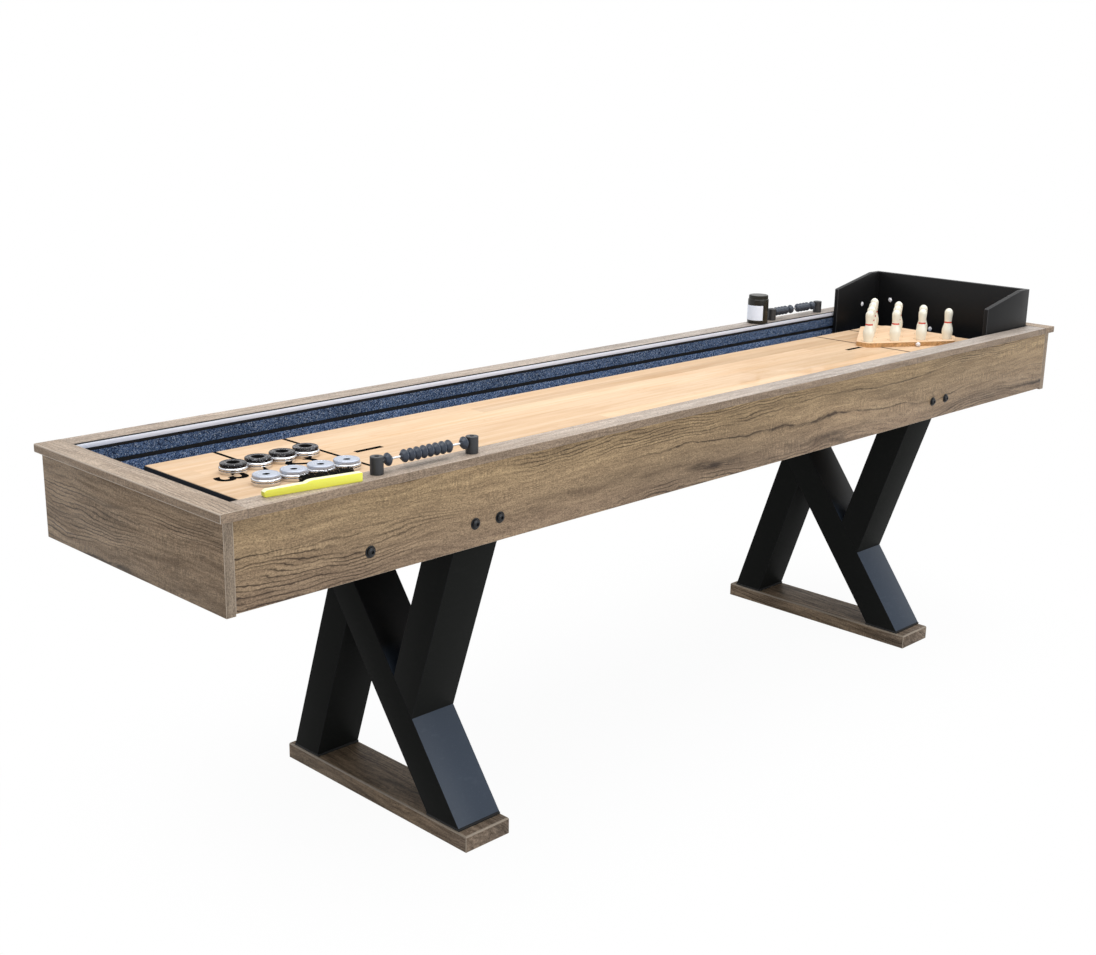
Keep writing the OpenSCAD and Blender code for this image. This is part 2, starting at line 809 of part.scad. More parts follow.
// Posts with a bevelled top, a screw recess and a blind seat for the rod
module scorer_posts() {
    radius = post_diameter / 2;
    color([0.16, 0.17, 0.19])
        for (s = scorers)
            for (i = [0, 1])
                translate([s[0] + i * post_spacing, s[1] * rail_mid_y, table_height])
                    difference() {
                        rotate_extrude()
                            polygon([[0, 0], [radius, 0], [radius, post_height - post_bevel],
                                [radius - post_bevel, post_height], [0, post_height]]);
                        translate([0, 0, post_height - recess_depth])
                            cylinder(h = recess_depth + 1, d = recess_diameter);
                        translate([0, 0, -1])
                            cylinder(h = post_height, d = screw_diameter + 2 * bolt_clearance);
                        translate([0, 0, rod_height])
                            rotate([0, i == 0 ? 90 : -90, 0])
                                translate([0, 0, radius - rod_seat])
                                    cylinder(h = rod_seat + 1, d = rod_diameter + 2 * bead_clearance);
                    }
}

// The two rods and the four screws that hold the posts down
module scorer_hardware() {
    head = recess_diameter - 1.5;
    color([0.80, 0.80, 0.82])
        for (s = scorers) {
            translate([s[0] + post_diameter / 2 - rod_seat, s[1] * rail_mid_y, rod_z])
                rotate([0, 90, 0])
                    cylinder(h = post_spacing - post_diameter + 2 * rod_seat, d = rod_diameter);
            for (i = [0, 1])
                translate([s[0] + i * post_spacing, s[1] * rail_mid_y, table_height])
                    difference() {
                        union() {
                            translate([0, 0, -screw_reach])
                                cylinder(h = screw_reach + post_height - recess_depth + slack, d = screw_diameter);
                            translate([0, 0, post_height - recess_depth])
                                cylinder(h = recess_depth / 2, d = head);
                        }
                        for (a = [0, 90])
                            translate([0, 0, post_height - recess_depth / 2])
                                rotate([0, 0, a])
                                    cube([head * 0.7, 0.9, 1.4], center = true);
                    }
        }
}

// A bead: a double cone with a rounded rim, bored for the rod
module bead(x, side) {
    half = bead_thickness / 2;
    radius = bead_diameter / 2;
    face = bead_face_diameter / 2;
    translate([x, side * rail_mid_y, rod_z])
        rotate([0, 90, 0])
            difference() {
                rotate_extrude()
                    polygon([[0, -half], [face - 0.6, -half], [face + 0.4, -half + 0.5],
                        [radius - 1.2, -1.6], [radius - 0.3, -0.9], [radius, 0], [radius - 0.3, 0.9],
                        [radius - 1.2, 1.6], [face + 0.4, half - 0.5], [face - 0.6, half], [0, half]]);
                translate([0, 0, -half - 1])
                    cylinder(h = bead_thickness + 2, d = rod_diameter + 2 * bead_clearance);
            }
}

module near_bead_left() {
    color([0.17, 0.20, 0.26])
        bead(near_left_x, -1);
}

module near_bead_stack() {
    color([0.17, 0.20, 0.26])
        for (i = [0:near_stack_count - 1])
            bead(near_stack_x + i * bead_step, -1);
}

module near_bead_right() {
    color([0.17, 0.20, 0.26])
        bead(near_right_x, -1);
}

module far_beads_left() {
    color([0.17, 0.20, 0.26]) {
        for (i = [0:far_group_count - 1])
            bead(far_left_x + i * bead_step, 1);
        bead(far_left_lone_x, 1);
    }
}

module far_beads_right() {
    color([0.17, 0.20, 0.26]) {
        for (i = [0:far_group_count - 1])
            bead(far_right_x + i * bead_step, 1);
        bead(far_right_lone_x, 1);
    }
}

// The back of the pin bay, standing on the gutter carpet
module backstop_panel() {
    color([0.06, 0.06, 0.07])
        block([stop_front, -wing_in, carpet_top], [stop_back, wing_in, stop_top]);
}

// Side boards whose tops slope down to the front
module backstop_wings() {
    color([0.08, 0.08, 0.09])
        for (side = [-1, 1])
            along_y(min(side * wing_in, side * wing_out), max(side * wing_in, side * wing_out), [
                [wing_front, carpet_top], [stop_back, carpet_top], [stop_back, stop_top],
                [stop_back - wing_level_length, stop_top],
                [wing_front + 1.5, table_height + wing_front_height],
                [wing_front, table_height + wing_front_height - 1.5]]);
}

// A low domed cap, its flat back at the origin
module cap(width, height) {
    dome = (width * width / 4 + height * height) / (2 * height);
    intersection() {
        translate([0, 0, height - dome])
            sphere(r = dome);
        cylinder(h = height + 1, d = width);
    }
}

// White caps over the backstop's screws
module backstop_caps() {
    color([0.92, 0.92, 0.92]) {
        for (side = [-1, 1])
            translate([stop_front - wing_cap_reach, side * wing_in, table_height + wing_cap_height])
                rotate([90 * side, 0, 0])
                    cap(cap_diameter, cap_height);
        translate([stop_front, corner_cap_reach, table_height + corner_cap_height])
            rotate([0, -90, 0])
                cap(cap_diameter, cap_height);
        translate([stop_front, low_cap_reach, table_height - low_cap_depth])
            rotate([0, -90, 0])
                cap(cap_diameter, cap_height);
    }
}

// The plate's outline: the triangle of spots, widened by the margin, with its corners clipped
plate_slant = plate_margin / cos(30);
function near_side(x) = -(x - head_pin_x) * tan(30) - plate_slant;
corner_spot = spot(3, 0);
head_cut_x = head_pin_x - plate_head_reach;
// Along the near side from the head pin to where the corner is clipped
clip_normal = [cos(corner_angle), sin(corner_angle)];
clip_at = corner_spot * clip_normal + plate_corner_reach;
clip_front_x = (clip_at - sin(corner_angle) * near_side(0)) / (cos(corner_angle) - sin(corner_angle) * tan(30));
clip_rear_y = (clip_at - cos(corner_angle) * plate_rear) / sin(corner_angle);
plate_half = [[head_cut_x, near_side(head_cut_x)], [clip_front_x, near_side(clip_front_x)],
    [plate_rear, clip_rear_y]];
plate_outline = concat(plate_half, [for (i = [2:-1:0]) [plate_half[i][0], -plate_half[i][1]]]);

// The plate that the pins stand on, with four drilled marks round each spot
module pin_plate() {
    color([0.80, 0.62, 0.38])
        difference() {
            translate([0, 0, play_top])
                linear_extrude(plate_thickness)
                    polygon(rounded(plate_outline, plate_rounding));
            for (p = spots)
                for (a = [0:90:270])
                    translate([p[0] + mark_reach * cos(a), p[1] + mark_reach * sin(a), plate_top - mark_depth])
                        cylinder(h = mark_depth + 1, d = mark_diameter, $fn = 16);
        }
}

// A round knob on a short neck, on the plate's near side
module plate_knob() {
    radius = knob_diameter / 2;
    neck = knob_diameter * 0.2;
    color([0.93, 0.93, 0.93])
        translate([head_pin_x + knob_along * cos(30) - plate_margin * sin(30),
            -knob_along * sin(30) - plate_margin * cos(30), play_top + knob_lift + radius])
            rotate([0, 0, -120])
                rotate([0, 90, 0])
                    union() {
                        cylinder(h = radius, r = neck);
                        cylinder(h = 1.2, r = neck * 1.5);
                        translate([0, 0, radius + 0.8])
                            sphere(r = radius);
                    }
}

// Half widths of a pin at shares of its height, joined by smooth waves
pin_stations = [[0, pin_foot_diameter / 2], [0.26, pin_belly_diameter / 2],
    [0.57, pin_neck_diameter / 2], [0.85, pin_head_diameter / 2]];
function wave(a, b, t) = a[1] + (b[1] - a[1]) * (1 - cos(180 * t)) / 2;
pin_side = [for (i = [0:2]) for (k = [0:6]) if (i == 0 || k > 0)
    let (a = pin_stations[i], b = pin_stations[i + 1], t = k / 6)
    [wave(a, b, t), (a[0] + (b[0] - a[0]) * t) * pin_height]];
pin_dome = [for (k = [1:6]) let (a = 15 * k)
    [pin_head_diameter / 2 * cos(a), (0.85 + 0.15 * sin(a)) * pin_height]];

module pin(i) {
    color([0.93, 0.90, 0.82])
        translate([spots[i][0], spots[i][1], plate_top])
            rotate_extrude($fn = 48)
                polygon(concat([[0, 0]], pin_side, [for (p = pin_dome) [max(0, p[0]), p[1]]]));
}

module pin_1() { pin(0); }
module pin_2() { pin(1); }
module pin_3() { pin(2); }
module pin_4() { pin(3); }
module pin_5() { pin(4); }
module pin_6() { pin(5); }
module pin_7() { pin(6); }
module pin_8() { pin(7); }
module pin_9() { pin(8); }
module pin_10() { pin(9); }

// A puck: a grooved metal weight with a boss on top, under a dished cap that sits on the boss
module puck(i) {
    r = puck_diameter / 2;
    c = puck_cap_diameter / 2;
    d = dish_diameter / 2;
    b = c - 4;
    crown = (c + d) / 2;
    low = weight_height + puck_seat_gap;
    side = low + 2;
    top = weight_height + puck_cap_height;
    floor = top - dish_depth;
    translate([puck_at(i)[0], puck_at(i)[1], play_top]) {
        color([0.75, 0.76, 0.78])
            rotate_extrude()
                polygon([[0, 0], [r - 1.5, 0], [r, 1.5], [r, weight_height * 0.5],
                    [r - puck_groove, weight_height * 0.53], [r - puck_groove, weight_height * 0.58],
                    [r, weight_height * 0.61], [r, weight_height - 2.5], [r - 0.7, weight_height - 0.9],
                    [c, weight_height], [b, weight_height], [b, weight_height + puck_boss_height],
                    [0, weight_height + puck_boss_height]]);
        color(i < 4 ? [0.07, 0.07, 0.07] : [0.70, 0.72, 0.78])
            rotate_extrude()
                polygon(concat(
                    [[0, weight_height + puck_boss_height + puck_seat_gap],
                        [b + puck_seat_gap, weight_height + puck_boss_height + puck_seat_gap],
                        [b + puck_seat_gap, low], [c - 0.4, low]],
                    [for (k = [0:4]) let (a = 22.5 * k)
                        [crown + (c - crown) * cos(a), side + (top - side) * sin(a)]],
                    [for (k = [1:4]) let (a = 22.5 * k)
                        [crown - (crown - d) * sin(a), floor + (top - floor) * cos(a)]],
                    [[0, floor]]));
    }
}

module puck_1() { puck(0); }
module puck_2() { puck(1); }
module puck_3() { puck(2); }
module puck_4() { puck(3); }
module puck_5() { puck(4); }
module puck_6() { puck(5); }
module puck_7() { puck(6); }
module puck_8() { puck(7); }

// The brush's own frame: grip end at the origin, head along X, bristles along Y, resting at Z 0
module brush_frame() {
    translate([-half_length + brush_inset, -half_width + brush_side_inset, table_height])
        rotate([0, 0, -brush_turn])
            children();
}
brush_head_start = brush_length - brush_head_length;
bristle_face = brush_back_thickness - bristle_backing;
field_start = brush_head_start + bristle_margin;
field_x = brush_head_length - bristle_margin - bristle_tip_margin;
field_z = brush_tip_height - 2 * bristle_margin;
pocket_gap = 0.2;

// The brush's back: a slim grip that steps up into the head, in side view, with a pocket for bristles
module brush_handle() {
    outline = rounded([[0, 1], [4, 0], [brush_length - 3, 0], [brush_length, 3],
        [brush_length, brush_tip_height - 3], [brush_length - 3, brush_tip_height],
        [brush_head_start + 6, brush_head_height], [brush_head_start - 8, brush_grip_height],
        [6, brush_grip_height], [0, brush_grip_height - 4]], 4, 4);
    color([0.95, 0.90, 0.25])
        brush_frame()
            difference() {
                translate([0, brush_back_thickness, 0])
                    rotate([90, 0, 0])
                        linear_extrude(brush_back_thickness)
                            polygon(outline);
                block([field_start - pocket_gap, bristle_face - pocket_gap / 2, bristle_margin - pocket_gap],
                    [field_start + field_x + pocket_gap, brush_back_thickness + 1,
                        bristle_margin + field_z + pocket_gap]);
            }
}

// The bristle field is one mesh: a slice of backing whose face carries a strand in each cell
cell_x = field_x / bristle_columns;
cell_z = field_z / bristle_rows;
cells = bristle_columns * bristle_rows;
grid_points = (bristle_columns + 1) * (bristle_rows + 1);
function grid_at(i, j) = j * (bristle_columns + 1) + i;
function foot_at(i, j, k) = 2 * grid_points + (j * bristle_columns + i) * 8 + k;
square_corners = [[-1, -1], [1, -1], [1, 1], [-1, 1]];
// How far each tip moves from its root: the flare, which grows steadily across the field, and a
// small sway below a quarter of a cell, so that no strands cross
function sway(i, j) = [
    bristle_flare * (2 * (i + 0.5) / bristle_columns - 1) + cell_x * 0.12 * sin(i * 71 + j * 43),
    bristle_flare * (j + 0.5) / bristle_rows + cell_z * 0.12 * cos(i * 37 + j * 91)];
function strand_length(i, j) = bristle_length * (1 - 0.03 * (1 + sin(i * 53 + j * 29)));

module brush_bristles() {
    face_y = bristle_backing;
    grid_front = [for (j = [0:bristle_rows]) for (i = [0:bristle_columns]) [i * cell_x, face_y, j * cell_z]];
    grid_back = [for (p = grid_front) [p[0], 0, p[2]]];
    strands = [for (j = [0:bristle_rows - 1]) for (i = [0:bristle_columns - 1])
        let (cx = (i + 0.5) * cell_x, cz = (j + 0.5) * cell_z, s = sway(i, j))
        for (k = [0:7])
            let (q = square_corners[k % 4], w = k < 4 ? bristle_width / 2 : bristle_width * 0.35)
            [cx + q[0] * w + (k < 4 ? 0 : s[0]), k < 4 ? face_y : face_y + strand_length(i, j),
                cz + q[1] * w + (k < 4 ? 0 : s[1])]];
    cell_faces = [for (j = [0:bristle_rows - 1]) for (i = [0:bristle_columns - 1])
        let (g = [grid_at(i, j), grid_at(i + 1, j), grid_at(i + 1, j + 1), grid_at(i, j + 1)])
        for (k = [0:3])
            let (n = (k + 1) % 4, a = foot_at(i, j, k), b = foot_at(i, j, n))
            each [[g[k], g[n], b], [g[k], b, a], [a, b, b + 4], [a, b + 4, a + 4]]];
    tip_faces = [for (j = [0:bristle_rows - 1]) for (i = [0:bristle_columns - 1])
        let (t = foot_at(i, j, 4)) each [[t, t + 1, t + 2], [t, t + 2, t + 3]]];
    back_faces = [for (j = [0:bristle_rows - 1]) for (i = [0:bristle_columns - 1])
        let (g = [for (q = [grid_at(i, j), grid_at(i + 1, j), grid_at(i + 1, j + 1), grid_at(i, j + 1)])
            q + grid_points])
        each [[g[0], g[2], g[1]], [g[0], g[3], g[2]]]];
    rim = concat([for (i = [0:bristle_columns - 1]) grid_at(i, 0)],
        [for (j = [0:bristle_rows - 1]) grid_at(bristle_columns, j)],
        [for (i = [bristle_columns:-1:1]) grid_at(i, bristle_rows)],
        [for (j = [bristle_rows:-1:1]) grid_at(0, j)]);
    rim_faces = [for (k = [0:len(rim) - 1])
        let (a = rim[k], b = rim[(k + 1) % len(rim)])
        each [[b, a, a + grid_points], [b, a + grid_points, b + grid_points]]];
    color([0.05, 0.05, 0.05])
        brush_frame()
            translate([field_start, bristle_face, bristle_margin])
                polyhedron(concat(grid_front, grid_back, strands),
                    concat(cell_faces, tip_faces, back_faces, rim_faces));
}

// A filled jar with a rounded shoulder and a neck for the lid
module wax_jar() {
    r = jar_diameter / 2;
    shoulder = 4;
    color([0.10, 0.09, 0.08])
        translate([jar_x, jar_y, table_height])
            rotate_extrude()
                polygon(concat([[0, 0], [r - 2, 0], [r, 2]],
                    [for (k = [0:6]) let (a = 15 * k)
                        [r - shoulder + shoulder * cos(a), jar_body_height - shoulder + shoulder * sin(a)]],
                    [[neck_radius, jar_body_height], [neck_radius, jar_body_height + neck_height],
                        [neck_radius - 3, jar_body_height + neck_height],
                        [neck_radius - 3, jar_body_height + neck_height - 1.5],
                        [0, jar_body_height + neck_height - 1.5]]));
}

// The ribbed lid over the jar's neck
module wax_jar_lid() {
    steps = lid_ribs * 6;
    inner = lid_height - lid_wall;
    color([0.07, 0.07, 0.07])
        translate([jar_x, jar_y, table_height + jar_body_height])
            difference() {
                intersection() {
                    linear_extrude(lid_height)
                        polygon([for (k = [0:steps - 1]) let (a = 360 * k / steps,
                            q = lid_diameter / 2 - lid_rib_depth / 2 * (1 - cos(lid_ribs * a)))
                            [q * cos(a), q * sin(a)]]);
                    rotate_extrude()
                        polygon([[0, 0], [lid_diameter / 2 + 1, 0], [lid_diameter / 2 + 1, lid_height - 2.5],
                            [lid_diameter / 2 - 1.5, lid_height], [0, lid_height]]);
                }
                translate([0, 0, -1])
                    cylinder(h = inner + 1, r = neck_radius + lid_clearance);
            }
}

near_apron();
far_apron();
left_end_panel();
right_end_panel();
near_rail();
far_rail();
left_rail();
right_rail();
rail_edge_trims();
wall_boards();
wall_carpets();
floor_board();
gutter_carpet();
playfield();
playfield_end_caps();
playfield_bearers();
corner_blocks();
cross_stretchers();
foot_boards();
leg_braces();
leg_posts();
leg_arms();
leg_pads();
leg_crossbars();
apron_bolts();
apron_washers();
scorer_posts();
scorer_hardware();
near_bead_left();
near_bead_stack();
near_bead_right();
far_beads_left();
far_beads_right();
backstop_panel();
backstop_wings();
backstop_caps();
pin_plate();
plate_knob();
pin_1();
pin_2();
pin_3();
pin_4();
pin_5();
pin_6();
pin_7();
pin_8();
pin_9();
pin_10();
puck_1();
puck_2();
puck_3();
puck_4();
puck_5();
puck_6();
puck_7();
puck_8();
brush_handle();
brush_bristles();
wax_jar();
wax_jar_lid();
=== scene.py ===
"""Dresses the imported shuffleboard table: laminate, lacquer, carpet, maple, chrome and moulded plastic."""
from math import atan2, cos, pi, radians, sin

import bmesh
import bpy
from mathutils import Matrix, Vector


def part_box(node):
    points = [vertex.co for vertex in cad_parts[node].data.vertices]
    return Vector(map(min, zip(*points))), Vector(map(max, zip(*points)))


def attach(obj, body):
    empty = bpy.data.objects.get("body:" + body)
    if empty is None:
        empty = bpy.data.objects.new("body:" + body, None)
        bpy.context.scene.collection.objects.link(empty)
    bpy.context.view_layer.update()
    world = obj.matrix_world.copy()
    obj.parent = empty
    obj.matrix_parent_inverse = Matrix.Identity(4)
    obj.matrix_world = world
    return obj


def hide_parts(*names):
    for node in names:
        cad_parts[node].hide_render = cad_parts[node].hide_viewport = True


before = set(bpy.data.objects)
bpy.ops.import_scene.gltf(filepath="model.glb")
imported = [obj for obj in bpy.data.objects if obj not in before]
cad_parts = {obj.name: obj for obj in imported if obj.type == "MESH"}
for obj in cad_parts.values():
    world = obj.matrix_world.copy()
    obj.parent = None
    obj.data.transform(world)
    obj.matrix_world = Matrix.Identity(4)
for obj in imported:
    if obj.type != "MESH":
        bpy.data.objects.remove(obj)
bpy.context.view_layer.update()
MM = 0.001


# Camera

CAMERA_PLACE = (-2.6025, -2.2357, 1.4812)
CAMERA_TURN, CAMERA_RISE, CAMERA_ROLL = -45.4098, 15.7827, 0.9706
CAMERA_LENS = 49.210
CAMERA_SHIFT = (-0.0004, 0.0108)


def placed(name, data):
    """An object in the scene for a mesh, a curve, a lamp or the camera."""
    made = bpy.data.objects.new(name, data)
    bpy.context.scene.collection.objects.link(made)
    return made


def build_camera():
    """The photograph's viewpoint: turned about Z, tipped from straight down, rolled on its own axis."""
    camera = placed("camera", bpy.data.cameras.new("camera"))
    stand = Matrix.Translation(CAMERA_PLACE)
    for angle, axis in ((CAMERA_TURN, "Z"), (90 - CAMERA_RISE, "X"), (CAMERA_ROLL, "Z")):
        stand = stand @ Matrix.Rotation(radians(angle), 4, axis)
    camera.matrix_world = stand
    camera.data.lens = CAMERA_LENS
    camera.data.shift_x, camera.data.shift_y = CAMERA_SHIFT
    camera.data.sensor_width = 36
    camera.data.clip_end = 60
    bpy.context.scene.camera = camera
    bpy.context.scene.view_settings.view_transform = "Standard"


# Node wiring

def feed(tree, socket, value):
    """Links a socket to another, or sets its value. A colour may be three numbers or one grey."""
    if isinstance(value, bpy.types.NodeSocket):
        tree.links.new(value, socket)
    elif socket.type == "RGBA":
        socket.default_value = (*value, 1) if isinstance(value, tuple) else (value, value, value, 1)
    elif value is not None:
        socket.default_value = value


def add(tree, kind, values=None, **settings):
    """A new node with its settings and the values of its inputs, which are given by name or number."""
    made = tree.nodes.new(kind)
    for key, value in settings.items():
        setattr(made, key, value)
    for label, value in (values or {}).items():
        feed(tree, made.inputs[label], value)
    return made


def calc(tree, operation, first, second=None, third=None):
    return add(tree, "ShaderNodeMath", {0: first, 1: second, 2: third}, operation=operation).outputs[0]


def times(tree, first, second):
    return calc(tree, "MULTIPLY", first, second)


def plus(tree, first, second):
    return calc(tree, "ADD", first, second)


def minus(tree, first, second):
    return calc(tree, "SUBTRACT", first, second)


def stretch(tree, place, scale, shift=(0, 0, 0)):
    """A place multiplied along each axis, then moved."""
    made = add(tree, "ShaderNodeVectorMath", operation="MULTIPLY_ADD")
    for socket, value in zip(made.inputs, (place, scale, shift)):
        feed(tree, socket, value)
    return made.outputs[0]


def noise(tree, place, scale, detail=2.0, rough=0.5, shift=(0, 0, 0), bend=0.0):
    """Noise that is stretched by a scale along each axis."""
    values = {"Vector": stretch(tree, place, scale, shift), "Scale": 1.0, "Detail": detail,
              "Roughness": rough, "Distortion": bend}
    return add(tree, "ShaderNodeTexNoise", values).outputs["Fac"]


def cells(tree, place, scale=1.0, output="Distance"):
    return add(tree, "ShaderNodeTexVoronoi", {"Vector": place, "Scale": scale}, feature="F1").outputs[output]


def span(tree, value, low, high, out_low=0.0, out_high=1.0, smooth=False):
    """Maps the range from low to high onto another, and holds its ends."""
    return add(tree, "ShaderNodeMapRange", {0: value, 1: low, 2: high, 3: out_low, 4: out_high},
               interpolation_type="SMOOTHSTEP" if smooth else "LINEAR").outputs[0]


def blend(tree, share, first, second, kind="MIX"):
    return add(tree, "ShaderNodeMix", {0: share, 6: first, 7: second}, data_type="RGBA", blend_type=kind,
               clamp_factor=True).outputs[2]


def apart(tree, place):
    return add(tree, "ShaderNodeSeparateXYZ", {0: place}).outputs


def together(tree, x, y, z):
    return add(tree, "ShaderNodeCombineXYZ", {0: x, 1: y, 2: z}).outputs[0]


def tinted(tree, colour, shade):
    """A colour multiplied by a number."""
    return blend(tree, 1.0, colour, together(tree, shade, shade, shade), "MULTIPLY")


FINISH = ("Colour", "Roughness", "Height")


def shader_group(name, colours, numbers=(), outputs=FINISH):
    """A new shader node group whose inputs are a place, some colours and some numbers."""
    tree = bpy.data.node_groups.new(name, "ShaderNodeTree")
    tree.interface.new_socket("Place", in_out="INPUT", socket_type="NodeSocketVector")
    for labels, kind in ((colours, "NodeSocketColor"), (numbers, "NodeSocketFloat")):
        for label in labels:
            tree.interface.new_socket(label, in_out="INPUT", socket_type=kind)
    for label in outputs:
        kind = "NodeSocketColor" if label == "Colour" else "NodeSocketFloat"
        tree.interface.new_socket(label, in_out="OUTPUT", socket_type=kind)
    return tree, add(tree, "NodeGroupInput").outputs


def results(tree, *values):
    """Feeds the outputs of a group, in their order."""
    add(tree, "NodeGroupOutput", dict(enumerate(values)))
    return tree


def use(tree, group, **values):
    """A group in a material, its inputs given by their names in small letters."""
    values = {label.replace("_", " ").title(): value for label, value in values.items()}
    return add(tree, "ShaderNodeGroup", values, node_tree=group).outputs


# Effects that several materials share

def build_driftwood_grain():
    """Printed driftwood: short streaks, bunches of contour lines, long splits, saw marks and speckle."""
    tree, entry = shader_group("Driftwood Grain", ("Pale", "Body", "Dark"), ("Swirl", "Veins"))
    place = entry["Place"]
    along, across, depth = apart(tree, place)
    drift = minus(tree, noise(tree, place, (1.7, 6, 3), 1.5), 0.5)
    ripple = minus(tree, noise(tree, place, (10, 19, 20), 1.5), 0.5)
    shiver = minus(tree, noise(tree, place, (80, 110, 60), 2.0), 0.5)
    knot = span(tree, cells(tree, stretch(tree, place, (1.5, 5.5, 1))), 0.0, 0.42, 1.0, 0.0, smooth=True)
    bent = calc(tree, "MULTIPLY_ADD", drift, 0.10, across)
    bent = calc(tree, "MULTIPLY_ADD", ripple, 0.019, bent)
    bent = calc(tree, "MULTIPLY_ADD", shiver, 0.0042, bent)
    bent = plus(tree, bent, times(tree, knot, entry["Swirl"]))
    flow = together(tree, along, bent, depth)

    # Thin dark contour lines that come and go in bunches
    lines = times(tree, calc(tree, "PINGPONG", times(tree, bent, 142.0), 0.5), 2.0)
    bunch = span(tree, noise(tree, flow, (1.1, 9, 2), 2.0, shift=(11, 5, 2)), 0.49, 0.59)
    broken = span(tree, noise(tree, flow, (9, 150, 30), 2.0, shift=(4, 4, 4)), 0.34, 0.52)
    vein = span(tree, lines, 0.0, 0.52, 1.0, 0.0, smooth=True)
    vein = times(tree, times(tree, vein, bunch), broken)

    # Long thin splits, drawn where a slow noise crosses its middle
    slow = noise(tree, flow, (0.55, 9, 1), 1.0, shift=(3, 2, 8))
    off_split = calc(tree, "ABSOLUTE", minus(tree, slow, 0.5))
    open_at = span(tree, noise(tree, place, (2.2, 9, 1), 1.0, shift=(6, 7, 1)), 0.40, 0.58)
    split = times(tree, span(tree, off_split, 0.0, 0.012, 1.0, 0.0, smooth=True), open_at)
    frayed = span(tree, noise(tree, flow, (22, 300, 60), 2.0, shift=(1, 3, 5)), 0.30, 0.52, 0.15, 1.0)
    split = times(tree, split, frayed)
    marks = calc(tree, "MAXIMUM", times(tree, vein, 0.95), split)
    marks = times(tree, marks, entry["Veins"])

    # Fine structure
    streaks = noise(tree, flow, (8, 95, 40), 4.0, 0.62)
    strokes = span(tree, noise(tree, flow, (34, 640, 200), 2.0, 0.6), 0.54, 0.68)
    speckle = noise(tree, place, (270, 330, 270), 2.0, 0.85)
    fleck = span(tree, noise(tree, flow, (160, 420, 300), 1.0, shift=(2, 6, 1)), 0.66, 0.76)
    pores = span(tree, noise(tree, flow, (110, 760, 400), 1.0), 0.60, 0.70)
    saw = noise(tree, place, (230, 22, 60), 1.0, shift=(5, 0, 3))
    sawn = span(tree, noise(tree, place, (6, 26, 9), 2.0, shift=(1, 9, 5)), 0.48, 0.64)
    bands = noise(tree, flow, (1.9, 17, 5), 4.0, 0.6, shift=(7, 3, 1))
    colour = blend(tree, span(tree, streaks, 0.34, 0.66), entry["Pale"], entry["Body"])
    colour = blend(tree, span(tree, bands, 0.44, 0.72, 0.0, 0.36), colour, entry["Dark"])
    colour = blend(tree, times(tree, fleck, 0.35), colour, entry["Pale"])
    colour = blend(tree, times(tree, strokes, 0.34), colour, entry["Dark"])
    colour = blend(tree, times(tree, marks, 0.95), colour, entry["Dark"])
    colour = blend(tree, times(tree, pores, 0.34), colour, entry["Dark"])
    tone = noise(tree, place, (1.3, 5, 1), 2.0, shift=(3, 8, 5))
    sawing = times(tree, minus(tree, saw, 0.5), times(tree, sawn, 1.1))
    shade = times(tree, span(tree, tone, 0.3, 0.7, 0.86, 1.12), span(tree, speckle, 0.30, 0.70, 0.58, 1.42))
    shade = times(tree, shade, plus(tree, sawing, 1.0))
    colour = tinted(tree, colour, shade)
    gloss = span(tree, streaks, 0.2, 0.8, 0.42, 0.60)
    dip = calc(tree, "MULTIPLY_ADD", marks, -0.6, times(tree, streaks, -0.3))
    return results(tree, colour, gloss, calc(tree, "MULTIPLY_ADD", pores, -0.3, dip))


def build_fine_wear():
    """Dust, faint scuffs and a soft mottle, for lacquer, plastic and metal."""
    tree, entry = shader_group("Fine Wear", ("Colour", "Dust"), ("Dusting", "Gloss Low", "Gloss High"))
    place = entry["Place"]
    mottle = noise(tree, place, (9, 9, 9), 3.0, 0.6)
    specks = span(tree, noise(tree, place, (520, 520, 520), 1.0), 0.66, 0.74)
    scuff = span(tree, noise(tree, place, (35, 35, 90), 4.0, 0.7), 0.56, 0.74)
    dusty = times(tree, entry["Dusting"], plus(tree, specks, times(tree, scuff, 0.6)))
    colour = blend(tree, dusty, entry["Colour"], entry["Dust"])
    worn = calc(tree, "MULTIPLY_ADD", scuff, 0.35, times(tree, mottle, 0.65))
    reach = minus(tree, entry["Gloss High"], entry["Gloss Low"])
    gloss = calc(tree, "MULTIPLY_ADD", worn, reach, entry["Gloss Low"])
    return results(tree, colour, gloss, noise(tree, place, (900, 900, 900), 2.0, 0.6))


